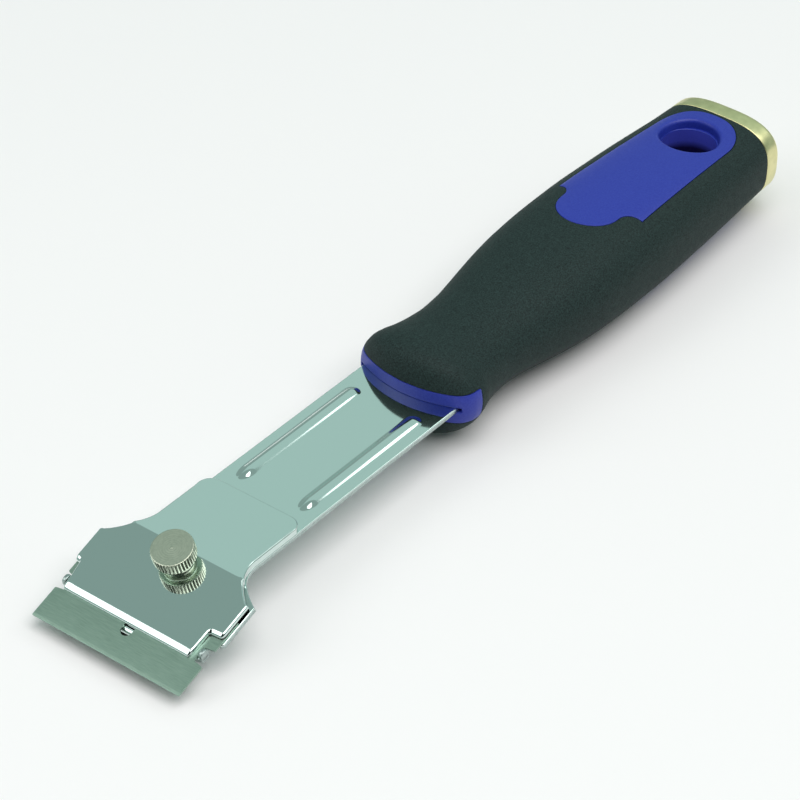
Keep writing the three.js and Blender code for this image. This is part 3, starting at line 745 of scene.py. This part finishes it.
def nut_mesh():
    """Round clinch nut under the head, chamfered, with turns of thread in its bore."""
    outer = [(NUT_R - 0.3, NUT_BOTTOM), (NUT_R, NUT_BOTTOM + 0.3), (NUT_R, NUT_TOP)]
    turns = []
    z = NUT_TOP - 0.05
    while z - THREAD_PITCH > NUT_BOTTOM + 0.45:
        turns += [(NUT_BORE_R, z), (NUT_BORE_R + 0.22, z - THREAD_PITCH / 2)]
        z -= THREAD_PITCH
    inner = turns + [(NUT_BORE_R, NUT_BOTTOM + 0.35), (NUT_BORE_R + 0.3, NUT_BOTTOM)]
    points, faces = ring_lathe(outer + inner, 96, SCREW_X)
    return to_head(points), faces


# ------------------------------------------------------------------ handle skin
def monotone(knots, values, at):
    """Monotone cubic interpolation, so that a section never overshoots its neighbours."""
    h = np.diff(knots)
    d = np.diff(values) / h
    m = np.zeros(len(knots))
    m[0], m[-1] = d[0], d[-1]
    for k in range(1, len(knots) - 1):
        if d[k - 1] * d[k] > 0:
            w1, w2 = 2 * h[k] + h[k - 1], h[k] + 2 * h[k - 1]
            m[k] = (w1 + w2) / (w1 / d[k - 1] + w2 / d[k])
    at = np.clip(at, knots[0], knots[-1])
    i = np.clip(np.searchsorted(knots, at, side="right") - 1, 0, len(h) - 1)
    t = (at - knots[i]) / h[i]
    return (
        (1 + 2 * t) * (1 - t) ** 2 * values[i] + t * (1 - t) ** 2 * h[i] * m[i]
        + t * t * (3 - 2 * t) * values[i + 1] + t * t * (t - 1) * h[i] * m[i + 1]
    )


STEPS_3D = np.diff(SECTIONS[:, :3], axis=0)
RUN = np.concatenate([[0], np.cumsum(np.linalg.norm(STEPS_3D, axis=1))])
RUN_END = float(RUN[-1])


def section(u):
    """x, half width, half height, centre, power and bow at this run along the skin."""
    return [monotone(RUN, SECTIONS[:, k], np.asarray(u, float)) for k in range(6)]


def polar(a, b, n, angle):
    """Radius of a superellipse at this polar angle."""
    return (np.abs(np.cos(angle) / a) ** n + np.abs(np.sin(angle) / b) ** n) ** (-1 / n)


def skin(u, angle, inset=SKIN_INSET):
    """Points of the handle's surface, or of one that lies deeper."""
    x, a, b, centre, n, bow = section(u)
    r = polar(a - inset, b - inset, n, angle)
    y, z = r * np.cos(angle), r * np.sin(angle)
    x = x + bow * y * y / (2 * COLLAR_BOW)
    return np.stack([x, y, MID_Z + centre + z], -1)


def skin_normal(u, angle):
    """Outward directions at points of the handle's surface."""
    step = 1e-3
    u = np.clip(u, 2 * step, RUN_END - 2 * step)
    along = skin(u + step, angle) - skin(u - step, angle)
    across = skin(u, angle + step) - skin(u, angle - step)
    normal = np.cross(across, along)
    normal /= np.linalg.norm(normal, axis=-1, keepdims=True)
    outward = skin(u, angle) - skin(u, angle) * (1, 0, 0)
    flip = np.sum(normal * (outward - (0, 0, MID_Z)), -1) < 0
    normal[flip] *= -1
    return normal


def half_width(a, b, centre, n, height, most=1.0):
    """Half width of sections at this height, which counts as at most this share of b."""
    rise = np.minimum(np.abs(height - centre) / b, most)
    return a * (1 - rise ** n) ** (1 / n)


def run_at(x, z=None, y=None):
    """The run and polar angle of skin points given x and z (side) or x and y (top)."""
    x = np.atleast_1d(np.asarray(x, float))
    low, high = np.zeros_like(x), np.full_like(x, RUN_END)
    for _ in range(45):
        u = (low + high) / 2
        sx, a, b, centre, n, bow = section(u)
        aside = np.abs(y) if z is None else half_width(a, b, centre, n, z)
        past = sx + bow * aside ** 2 / (2 * COLLAR_BOW) > x
        high = np.where(past, u, high)
        low = np.where(past, low, u)
    u = (low + high) / 2
    _, a, b, centre, n, _ = section(u)
    if z is None:
        return u, np.arctan2(half_width(b, a, 0, n, y), y)
    return u, np.arctan2(z - centre, half_width(a, b, centre, n, z))


def open_edges(tris):
    """Yields closed rows of point numbers along the open edges of a patch."""
    edges = {(int(a), int(b)) for t in tris for a, b in zip(t, np.roll(t, -1))}
    following = {a: b for a, b in edges if (b, a) not in edges}
    while following:
        start = next(iter(following))
        row = [start]
        while following.get(row[-1]) not in (None, start):
            row.append(following.pop(row[-1]))
        following.pop(row[-1], None)
        yield np.array(row)


def shell(points, normals, tris, depth, rim):
    """Thickens a patch of skin inwards and rounds its open edges.

    rim(loop points) gives the radius of the rounding and the depth of the wall.
    """
    key = np.round(points, 5)
    _, first, back = np.unique(key, axis=0, return_index=True, return_inverse=True)
    back = back.ravel()
    points, normals, tris = points[first], normals[first], back[tris]
    tris = tris[(tris[:, 0] != tris[:, 1]) & (tris[:, 1] != tris[:, 2]) & (tris[:, 2] != tris[:, 0])]
    face = np.cross(points[tris[:, 1]] - points[tris[:, 0]], points[tris[:, 2]] - points[tris[:, 0]])
    if np.sum(face * normals[tris[:, 0]]) < 0:
        tris = tris[:, ::-1]
    all_points = [points, points - normals * depth]
    inner_at = len(points)
    faces = [tuple(t) for t in tris] + [tuple(int(i) + inner_at for i in t[::-1]) for t in tris]
    at = 2 * len(points)
    for ids in open_edges(tris):
        p, n = points[ids], normals[ids]
        ahead = np.roll(p, -1, 0) - np.roll(p, 1, 0)
        out = np.cross(ahead, n)
        out /= np.linalg.norm(out, axis=1)[:, None]
        radius, wall = rim(p)
        rings = [p + out * radius * math.sin(a) - n * radius * (1 - math.cos(a))
                 for a in np.radians((18, 36, 54, 72, 90))]
        rings.append(p + out * radius - n * wall)
        previous = ids
        for ring in rings:
            all_points.append(ring)
            current = at + np.arange(len(ids))
            at += len(ids)
            faces += strip(current, previous)
            previous = current
        faces += strip(ids + inner_at, previous)
    return np.concatenate(all_points), faces


def inlay_outline(grow):
    """Plan outline of the bare inlay, grown outwards by this much."""
    t = np.radians(np.linspace(0, 90, 25))
    power = 2 / INLAY_REAR_POWER
    rear = np.stack([
        HANG_X + (INLAY_REAR_LENGTH + grow) * np.cos(t) ** power,
        (INLAY_REAR_HALF + grow) * np.sin(t) ** power,
    ], 1)
    scallop = arc(SCALLOP_X, INLAY_HALF, SCALLOP_R - grow, 0, -90, 16)
    scallop[:, 1] = np.minimum(scallop[:, 1], INLAY_HALF + grow)
    nose = arc(NOSE_X, 0, NOSE_R + grow, 90, 180, 22)[:-1]
    tip = np.array([[NOSE_X - NOSE_R - grow, 0]])
    side = np.concatenate([rear, [[SCALLOP_X + SCALLOP_R - grow, INLAY_HALF + grow]], scallop, nose])
    loop = np.concatenate([side, tip, side[::-1][:-1] * (1, -1)])
    return denser(without_repeats(loop, 1e-4), 1.2)


def grid_inside(loop, pitch, clear):
    """Square grid of points inside a closed loop, kept off its line."""
    low, high = loop.min(0), loop.max(0)
    grid = np.stack(np.meshgrid(
        np.arange(low[0], high[0], pitch), np.arange(low[1], high[1], pitch), indexing="ij",
    ), -1).reshape(-1, 2)
    grid = grid[inside(grid, loop)]
    return grid[distance(grid, loop) > clear]


def distance(points, loop):
    """Shortest distance from points to a closed loop."""
    a, b = loop, np.roll(loop, -1, 0)
    best = np.full(len(points), 1e9)
    for p, q in zip(a, b):
        d = q - p
        t = np.clip(((points - p) @ d) / max(d @ d, 1e-12), 0, 1)
        best = np.minimum(best, np.linalg.norm(points - p - t[:, None] * d, axis=1))
    return best


def inlay_patch(side):
    """Upper or lower bare inlay, with the mouth of the hang hole."""
    loop = inlay_outline(-GAP / 2 - 0.15)
    hole = full_circle(HANG_X, HANG_RIM_R, 96)
    loose = grid_inside(loop, 0.9, 0.35)
    loose = loose[np.hypot(loose[:, 0] - HANG_X, loose[:, 1]) > HANG_RIM_R + 0.35]
    plan, tris = triangulate([loop, hole], [], loose)
    u, angle = run_at(plan[:, 0], y=plan[:, 1])
    angle = angle * side
    points, normals = skin(u, angle), skin_normal(u, angle)

    def rim(p):
        around_hole = np.hypot(p[:, 0] - HANG_X, p[:, 1]).max() < HANG_RIM_R + 0.5
        return (HANG_RIM_R - HANG_R, 2.6) if around_hole else (0.15, 1.4)

    return shell(points, normals, tris, 2.6, rim)


def bore_mesh():
    """Wall of the hang hole, with a rounded ledge part of the way down."""
    run, angle = run_at(HANG_X, y=0.0)
    centre = MID_Z + float(section(run)[3][0])
    half = skin(run, angle)[0, 2] - centre
    throat = HANG_R - LEDGE_STEP
    wall = [(HANG_R + 1.6, half - 1.6), (HANG_R - 0.02, half - 1.6), (HANG_R - 0.04, half - 2.6)]
    wall += [(throat + LEDGE_STEP * math.cos(a), half - LEDGE_DEPTH + LEDGE_STEP * math.sin(a))
             for a in np.radians(np.linspace(75, 180, 7))]
    wall += [(throat - LEDGE_STEP, 0.0)]
    profile = wall + [(r, -z) for r, z in wall[::-1][1:]]
    return ring_lathe([(r, centre + z) for r, z in profile], 128, HANG_X)


def band_point(run, z):
    """A point on the bare collar at this signed distance round its plan from the nose.

    The plan curve at height z runs along one side, across the nose and back.
    """
    table = []
    for height in np.unique(z):
        sx, a, b, centre, n, bow = section(np.linspace(RUN_BAND, 0, 90))
        y = half_width(a, b, centre, n, height, 0.999)
        x = sx + bow * y * y / (2 * COLLAR_BOW)
        across = np.linspace(y[-1], 0, 60)[1:]
        x = np.concatenate([x, SECTIONS[0, 0] + across ** 2 / (2 * COLLAR_BOW)])
        y = np.concatenate([y, across])
        keep = x <= BAND_BACK - GAP
        x, y = x[keep], y[keep]
        length = np.concatenate([[0], np.cumsum(np.hypot(np.diff(x), np.diff(y)))])
        share = 1 - length / length[-1]
        for _ in range(3):
            x[1:-1] = (x[:-2] + 2 * x[1:-1] + x[2:]) / 4
            y[1:-1] = (y[:-2] + 2 * y[1:-1] + y[2:]) / 4
        table.append((height, share[::-1], x[::-1], y[::-1]))
    out = np.zeros((len(run), 3))
    for height, share, x, y in table:
        row = z == height
        s = np.abs(run[row])
        out[row, 0] = np.interp(s, share, x)
        out[row, 1] = np.interp(s, share, y) * np.sign(run[row])
        out[row, 2] = MID_Z + height
    return out


RUN_BAND = float(run_at(BAND_BACK + 1.5, z=0.0)[0][0])


def band_mesh():
    """Bare collar between the upper and lower grip, with the slot for the shank."""
    top = BAND_HALF - GAP - 0.12
    ends = 1 - 0.2 / BAND_LENGTH
    outline = rounded([
        (-ends, 0, 0), (-ends, -top, 0.05), (ends, -top, 0.05), (ends, top, 0.05), (-ends, top, 0.05),
        (-ends, 0.01, 0),
    ])
    outline = outline[:, :2] * (BAND_LENGTH, 1)
    probe = np.linspace(0.5, 0.95, 400)
    reach = np.interp(SLOT_HALF, band_point(probe, np.zeros(400))[:, 1], probe) * BAND_LENGTH
    r = SLOT_HALF_H
    slot = rounded([
        (-reach, 0, 0), (-reach, -r, 0.45), (reach, -r, 0.45), (reach, r, 0.45), (-reach, r, 0.45),
        (-reach, 0.01, 0),
    ])
    outline, slot = denser(outline, 0.35), denser(slot, 0.35)
    loose = grid_inside(outline, 0.35, 0.2)
    loose = loose[~inside(loose, slot)]
    loose = loose[distance(loose, slot) > 0.15]
    plan, tris = triangulate([outline, slot], [], loose)
    height = np.round(plan[:, 1], 3)
    points = band_point(plan[:, 0] / BAND_LENGTH, height)
    ahead = band_point((plan[:, 0] + 0.02) / BAND_LENGTH, height) - points
    up = band_point(plan[:, 0] / BAND_LENGTH, np.round(height * 0.9, 3)) - points
    up[np.abs(height) < 0.3] = (0, 0, 1)
    up[height > 0.3] *= -1
    normals = np.cross(up, ahead)
    normals /= np.linalg.norm(normals, axis=1)[:, None]
    outward = points - (BAND_BACK + 8, 0, MID_Z)
    normals[np.sum(normals * outward, 1) < 0] *= -1

    def rim(p):
        in_slot = np.abs(p[:, 2] - MID_Z).max() < BAND_HALF / 2
        return (0.25 if in_slot else 0.12), BAND_DEPTH

    return shell(points, normals, tris, BAND_DEPTH, rim)


def core_mesh():
    """Inner body behind the skins, which closes every open line and the collar's slot."""
    start, stop = (float(run_at(x, y=0.0)[0][0]) for x in (CORE_FRONT, CORE_REAR))
    angles = turn_angles(72)
    rings = [skin(np.full(len(angles), u), angles, CORE_INSET) for u in np.linspace(start, stop, 60)]
    return capped(rings, rings[0].mean(0), rings[-1].mean(0))


def grip_mesh():
    """Soft skin over the handle, open at the two inlays and round the collar's front."""
    margin = GAP / 2 + SKIN_EDGE
    h = BAND_HALF + margin
    x_back = BAND_BACK + margin
    r = BAND_CORNER

    def side_line(top):
        """Band border from the nose to the middle of the right side, above or below it."""
        height = h * top
        u_last = float(run_at(x_back - r, z=height)[0][0])
        u = u_last * np.linspace(0.0, 1, 26) ** 1.6
        _, a, b, centre, n, _ = section(u)
        angle = np.arctan2(height - centre, half_width(a, b, centre, n, height))
        straight = np.stack([u, angle], 1)
        t = np.radians(np.linspace(0, 90, 7))[1:]
        cx = x_back - r + r * np.sin(t)
        cz = (h - r + r * np.cos(t)) * top
        u2, a2 = run_at(cx, z=cz)
        zs = np.linspace(cz[-1], 0, 8)[1:]
        u3, a3 = run_at(np.full(len(zs), x_back), z=zs)
        return np.concatenate([straight, np.stack([u2, a2], 1), np.stack([u3, a3], 1)])

    def nose(start, stop):
        """Points round the nose, between the starts of two side lines."""
        return np.stack([np.zeros(12), np.linspace(start[0, 1], stop[0, 1], 12)], 1)[1:-1]

    upper_right, lower_right = side_line(1), side_line(-1)
    upper_left, lower_left = ((0, math.pi) + line * (1, -1) for line in (upper_right, lower_right))
    lower_right[:, 1] += 2 * math.pi
    u_end = RUN_END - 0.12
    rear = np.stack([np.full(97, u_end), np.linspace(0, 2 * math.pi, 97)], 1)
    seam = np.linspace(upper_right[-1, 0], u_end, 100)[:, None] * (1, 0)
    border = np.concatenate([
        seam[:-1], rear[:-1], (seam + (0, 2 * math.pi))[:0:-1],
        lower_right[::-1], nose(lower_right, lower_left), lower_left[:-1],
        upper_left[::-1], nose(upper_left, upper_right), upper_right[:-1],
    ])
    holes = []
    for side in (1, -1):
        plan = inlay_outline(margin)
        u, angle = run_at(plan[:, 0], y=plan[:, 1])
        angle = angle if side > 0 else 2 * math.pi - angle
        holes.append(np.stack([u, angle], 1))
    border, *holes = (loop * (1, AROUND_MM) for loop in [border, *holes])
    loose = grid_inside(border, 1.1, 0.5)
    for hole in holes:
        loose = loose[~inside(loose, hole)]
        loose = loose[distance(loose, hole) > 0.45]
    flat, tris = triangulate([border] + holes, [], loose)
    u, angle = flat[:, 0], flat[:, 1] / AROUND_MM
    return shell(
        skin(u, angle), skin_normal(u, angle), tris, SKIN_DEPTH,
        lambda p: (SKIN_EDGE, SKIN_DEPTH - 0.15),
    )


def cap_mesh():
    """Metal striking cap, with a rolled front rim and a rounded rear edge."""
    _, a, b, centre, n, _ = (float(v) for v in section(RUN_END))
    angles = turn_angles(160)
    front, rear = GRIP_REAR + 0.15, CAP_REAR
    rim, edge = 0.25, 1.35
    steps = [(front, 3.0), (front, 0.35)]
    steps += [(front + rim - rim * math.cos(t), rim - rim * math.sin(t) + 0.02)
              for t in np.radians(np.linspace(15, 90, 5))]
    steps += [(front + 1.5, 0.02), (rear - edge - 0.6, 0.04)]
    steps += [(rear - edge + edge * math.sin(t), 0.05 + edge * (1 - math.cos(t)))
              for t in np.radians(np.linspace(0, 84, 10))]
    steps += [(rear, edge + 0.6)]
    rings = []
    for x, inset in steps:
        r = polar(a - inset, b - inset, n, angles)
        y, z = r * np.cos(angles), MID_Z + centre + r * np.sin(angles)
        rings.append(np.stack([np.full(len(r), x), y, z], 1))
    return capped(rings, (front, 0, MID_Z + centre), (rear, 0, MID_Z + centre))


# ------------------------------------------------------------------ materials
def shader_of(mat):
    return mat.node_tree.nodes["Principled BSDF"]


def principled(name, colour, metallic, roughness):
    """A new material and its shader."""
    mat = bpy.data.materials.new(name)
    mat.use_nodes = True
    shader = shader_of(mat)
    shader.inputs["Base Color"].default_value = (*colour, 1)
    shader.inputs["Metallic"].default_value = metallic
    shader.inputs["Roughness"].default_value = roughness
    return mat, shader


def node(mat, kind):
    return mat.node_tree.nodes.new(kind)


def link(mat, a, out, b, into):
    mat.node_tree.links.new(a.outputs[out], b.inputs[into])


def noise(mat, scale, stretch, detail):
    """Noise in object space, scale in cycles per metre, stretched along an axis."""
    place = node(mat, "ShaderNodeTexCoord")
    mapping = node(mat, "ShaderNodeMapping")
    mapping.inputs["Scale"].default_value = stretch
    grain = node(mat, "ShaderNodeTexNoise")
    grain.inputs["Scale"].default_value = scale
    grain.inputs["Detail"].default_value = detail
    link(mat, place, "Object", mapping, "Vector")
    link(mat, mapping, "Vector", grain, "Vector")
    return grain


def spread(mat, source, low, high):
    """Maps a 0 to 1 value on to a range."""
    span = node(mat, "ShaderNodeMapRange")
    span.inputs["To Min"].default_value = low
    span.inputs["To Max"].default_value = high
    link(mat, source, 0, span, "Value")
    return span


def tinted(mat, source, low, high):
    """Colour ramp between two colours."""
    ramp = node(mat, "ShaderNodeValToRGB")
    ramp.color_ramp.elements[0].color = (*low, 1)
    ramp.color_ramp.elements[0].position = 0.3
    ramp.color_ramp.elements[1].color = (*high, 1)
    ramp.color_ramp.elements[1].position = 0.7
    link(mat, source, 0, ramp, "Fac")
    return ramp


def bumped(mat, source, depth, shader, chain=None):
    """Bump of this depth in metres, added after an earlier bump if there is one."""
    bump = node(mat, "ShaderNodeBump")
    bump.inputs["Strength"].default_value = 1.0
    bump.inputs["Distance"].default_value = depth
    link(mat, source, 0, bump, "Height")
    if chain is not None:
        link(mat, chain, "Normal", bump, "Normal")
    link(mat, bump, "Normal", shader, "Normal")
    return bump


EVEN = (1, 1, 1)  # noise that is not stretched


def finished(name, colour, metallic, roughness, tint, gloss, bumps, specular=0.5):
    """A material whose colour, roughness and bump follow noise.

    tint and gloss are (grain, low, high) and each bump is (grain, depth in metres), where
    a grain is the scale, stretch and detail of its noise. The same grain is made once.
    """
    mat, shader = principled(name, colour, metallic, roughness)
    shader.inputs["Specular IOR Level"].default_value = specular
    made = {}

    def grain(settings):
        if settings not in made:
            made[settings] = noise(mat, *settings)
        return made[settings]

    if tint:
        link(mat, tinted(mat, grain(tint[0]), *tint[1:]), 0, shader, "Base Color")
    link(mat, spread(mat, grain(gloss[0]), *gloss[1:]), 0, shader, "Roughness")
    chain = None
    for settings, depth in bumps:
        chain = bumped(mat, grain(settings), depth, shader, chain)
    return mat


def chrome_material():
    return finished(
        "polished_chrome", (0.66, 0.77, 0.74), 1.0, 0.06, None,
        ((900, (1, 6, 1), 4), 0.045, 0.1),
        [((60, EVEN, 1), 0.000008), ((5000, (1, 0.15, 1), 2), 0.0000004)],
    )


def groove_dull_and_shade_material():
    """Unpolished nickel down in the knurl: rougher, and darker as painted shade in the grooves."""
    cloud = (1800, EVEN, 3)
    return finished(
        "dull_nickel_groove_and_shade", (0.16, 0.18, 0.14), 1.0, 0.42,
        (cloud, (0.22, 0.245, 0.19), (0.3, 0.33, 0.26)), (cloud, 0.38, 0.48), [(cloud, 0.000001)],
    )


def tongue_end_shade_material():
    """Front end of the tongue, seen in the blade's slot, painted near black as the shade under the tool.
    """
    cloud = (1800, EVEN, 3)
    return finished(
        "tongue_end_painted_shade", (0.02, 0.022, 0.02), 0.6, 0.5,
        (cloud, (0.012, 0.014, 0.013), (0.035, 0.04, 0.036)), (cloud, 0.42, 0.6), [(cloud, 0.000004)],
    )


def sheared_material():
    """Plated but unpolished sides of the sheets, with fine marks across the sheet."""
    marks = (900, (3, 3, 0.2), 4)
    return finished(
        "sheared_chrome_edge", (0.42, 0.5, 0.48), 1.0, 0.34,
        (marks, (0.34, 0.42, 0.4), (0.5, 0.58, 0.56)), (marks, 0.26, 0.44), [(marks, 0.000004)],
    )


def blade_material():
    """Steel with grinding lines along the blade."""
    lines = (260, (26, 1.6, 1), 5)
    return finished(
        "ground_blade_steel", (0.3, 0.41, 0.34), 1.0, 0.4,
        (lines, (0.26, 0.37, 0.305), (0.335, 0.46, 0.385)), (lines, 0.36, 0.46),
        [((500, (24, 1.2, 1), 3), 0.000002)],
    )


def nickel_material():
    cloud = (1500, EVEN, 4)
    return finished(
        "turned_nickel", (0.6, 0.62, 0.52), 1.0, 0.2,
        (cloud, (0.58, 0.61, 0.49), (0.65, 0.68, 0.55)), (cloud, 0.27, 0.33),
        [((3000, EVEN, 2), 0.0000004)],
    )


def zinc_material():
    cloud = (900, EVEN, 5)
    return finished(
        "bright_zinc", (0.55, 0.58, 0.58), 1.0, 0.32,
        (cloud, (0.48, 0.5, 0.5), (0.6, 0.62, 0.6)), (cloud, 0.24, 0.42),
        [((2500, EVEN, 3), 0.000002)],
    )


def plastic_material():
    return finished(
        "blue_moulded_plastic", (0.02, 0.03, 0.3), 0.0, 0.38,
        ((2600, EVEN, 5), (0.014, 0.028, 0.33), (0.024, 0.044, 0.38)),
        ((1500, EVEN, 4), 0.32, 0.46), [((3500, EVEN, 3), 0.000004)], 0.4,
    )


def bore_shade_material():
    """The same plastic in the hang hole, with painted shade that darkens it towards the middle."""
    mat = finished(
        "blue_plastic_painted_bore_shade", (0.02, 0.018, 0.18), 0.0, 0.3, None,
        ((1500, EVEN, 4), 0.24, 0.36), [((3500, EVEN, 3), 0.000004)],
    )
    low, high = to_row([(HANG_X, 0, BORE_SHADE_DEEP_Z), (HANG_X, 0, BORE_SHADE_TOP_Z)])[:, 2]
    height, rise = node(mat, "ShaderNodeSeparateXYZ"), node(mat, "ShaderNodeMapRange")
    rise.inputs["From Min"].default_value = low
    rise.inputs["From Max"].default_value = high
    link(mat, node(mat, "ShaderNodeTexCoord"), "Object", height, "Vector")
    link(mat, height, "Z", rise, "Value")
    # Painted shade: the wall runs from near black low in the hole to bright blue higher up.
    ramp, shader = tinted(mat, rise, (0.006, 0.004, 0.055), (0.055, 0.07, 0.5)), shader_of(mat)
    link(mat, ramp, 0, shader, "Base Color")
    return mat


def rubber_material():
    return finished(
        "soft_grip_rubber", (0.008, 0.022, 0.02), 0.0, 0.7,
        ((3200, EVEN, 6), (0.001, 0.007, 0.007), (0.02, 0.044, 0.041)),
        ((700, EVEN, 5), 0.6, 0.8), [((4200, EVEN, 4), 0.00003)], 0.3,
    )


def cap_material():
    cloud = (500, EVEN, 5)
    return finished(
        "pale_gold_plate", (0.5, 0.58, 0.29), 1.0, 0.34,
        (cloud, (0.72, 0.68, 0.36), (0.84, 0.79, 0.44)), (cloud, 0.26, 0.42),
        [((1800, EVEN, 4), 0.000006)],
    )


def is_front_wall(index, corners, middle):
    """Whether a face of the sheet is on the front end of its tongue, under the blade, which is painted
    dark as shade.
    """
    return corners == 4 and middle[0] < TONGUE_FRONT * math.cos(BEND) + TONGUE_BEVEL


def in_bore(index, corners, middle):
    """Whether a face of the core is on the wall of the hang hole, below its ledge, where its shade is
    painted.
    """
    aside = math.hypot(middle[0] - HANG_X, middle[1])
    return aside < HANG_R - 0.1 and middle[2] < BORE_SHADE_TOP_Z


# ------------------------------------------------------------------ scene
def build_pieces():
    """Every visible piece, on its body and in place of its CAD node."""
    chrome, zinc = chrome_material(), zinc_material()
    sheet = shank_mesh()

    def unpolished(index, corners, middle):
        """Whether a face is one of the sheet's four-sided side faces, or part of an ear."""
        return corners == 4 or index >= len(sheet[1])

    # The front end of the tongue is painted near black as shade.
    add_piece(
        "shank_sheet", joined(sheet, ear_mesh(1), ear_mesh(-1)), chrome, "tool", "shank", 35,
        [(sheared_material(), unpolished), (tongue_end_shade_material(), is_front_wall)],
    )
    add_piece("clamp_pan", clamp_mesh(), chrome, "clamp", "clamp_plate", 35)
    add_piece("blade_sheet", blade_mesh(), blade_material(), "blade", "blade", 8)
    # The knurl's grooves are rougher, and darker as painted shade.
    add_piece(
        "knurled_screw", screw_mesh(), nickel_material(), "screw", "thumb_screw", 24,
        [(groove_dull_and_shade_material(), in_groove)],
    )
    add_piece("round_nut", nut_mesh(), zinc, "tool", "clinch_nut", 30)
    core = joined(band_mesh(), inlay_patch(1), inlay_patch(-1), bore_mesh(), core_mesh())
    # The wall of the hang hole gets painted shade.
    add_piece(
        "blue_core", core, plastic_material(), "tool", "handle_core", 50,
        [(bore_shade_material(), in_bore)],
    )
    add_piece("soft_skin", grip_mesh(), rubber_material(), "tool", "grip", 50)
    add_piece("strike_cap", cap_mesh(), cap_material(), "tool", "hammer_cap", 40)
    for name in ("tang_pin_front", "tang_pin_rear"):
        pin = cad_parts[name].data
        pin.materials.clear()
        pin.materials.append(zinc)


def build_camera():
    """Camera from the tool's front left, looking down at its middle."""
    data = bpy.data.cameras.new("camera")
    data.lens = CAMERA_LENS
    data.sensor_width = 36.0
    camera = bpy.data.objects.new("camera", data)
    bpy.context.scene.collection.objects.link(camera)
    place, target = Vector(to_row(CAMERA_AT)), Vector(to_row(CAMERA_TARGET))
    turn = (target - place).to_track_quat("-Z", "Y").to_matrix().to_4x4()
    camera.matrix_world = Matrix.Translation(place) @ turn @ Matrix.Rotation(CAMERA_ROLL, 4, "Z")
    bpy.context.scene.camera = camera


def add_softbox(name, direction, distance, size, radiance, colour=(1, 1, 1)):
    """Area light in metres, this far away in this direction, that faces the tool.

    size is its width, which lies level, and its height.
    """
    data = bpy.data.lights.new(name, "AREA")
    data.shape = "RECTANGLE"
    data.size, data.size_y = size
    data.energy = radiance * math.pi * size[0] * size[1]
    data.color = colour
    lamp = bpy.data.objects.new(name, data)
    bpy.context.scene.collection.objects.link(lamp)
    lamp.location = Vector(direction).normalized() * distance
    lamp.rotation_euler = (-lamp.location).to_track_quat("-Z", "Y").to_euler()


def darker_towards(world, direction):
    """Makes the even studio surround fall off to dark on one side."""
    nodes, links = world.node_tree.nodes, world.node_tree.links
    place = nodes.new("ShaderNodeTexCoord")
    along = nodes.new("ShaderNodeVectorMath")
    along.operation = "DOT_PRODUCT"
    along.inputs[1].default_value = direction
    fade = nodes.new("ShaderNodeMapRange")
    fade.interpolation_type = "SMOOTHSTEP"
    for name, value in (("From Min", 0.45), ("From Max", 0.9), ("To Min", 1.0), ("To Max", 0.08)):
        fade.inputs[name].default_value = value
    links.new(place.outputs["Generated"], along.inputs[0])
    links.new(along.outputs["Value"], fade.inputs["Value"])
    links.new(fade.outputs["Result"], nodes["Background"].inputs["Strength"])


def build_stage():
    """White floor, a grey green surround and four soft boxes."""
    data = bpy.data.meshes.new("floor")
    half = 3.0
    ends = [(-half, -half, 0), (half, -half, 0), (half, half, 0), (-half, half, 0)]
    data.from_pydata(ends, [], [(0, 1, 2, 3)])
    floor = bpy.data.objects.new("floor", data)
    bpy.context.scene.collection.objects.link(floor)
    mat, shader = principled("pale_floor", (0.94, 0.915, 0.92), 0.0, 0.9)
    shader.inputs["Specular IOR Level"].default_value = 0.1
    data.materials.append(mat)
    world = bpy.data.worlds.new("studio")
    bpy.context.scene.world = world
    world.use_nodes = True
    world.node_tree.nodes["Background"].inputs["Color"].default_value = (0.3, 0.4, 0.375, 1)
    darker_towards(world, (-0.7, -0.53, 0.48))
    white, cool = (1, 0.97, 0.97), (0.75, 1, 0.95)
    add_softbox("left", (-0.62, 0.48, 0.62), 1.3, (0.8, 0.8), 1.7, white)
    add_softbox("right", (0.63, -0.38, 0.67), 1.3, (0.42, 0.42), 1.7, white)
    add_softbox("over", (-0.1, -0.32, 0.94), 1.5, (1.45, 1.45), 2.75, white)
    add_softbox("far", (0.68, 0.2, 0.7), 1.6, (2.1, 0.8), 0.26, cool)
    bpy.context.scene.view_settings.view_transform = "Standard"


build_camera()
build_stage()
build_pieces()
bpy.context.view_layer.update()
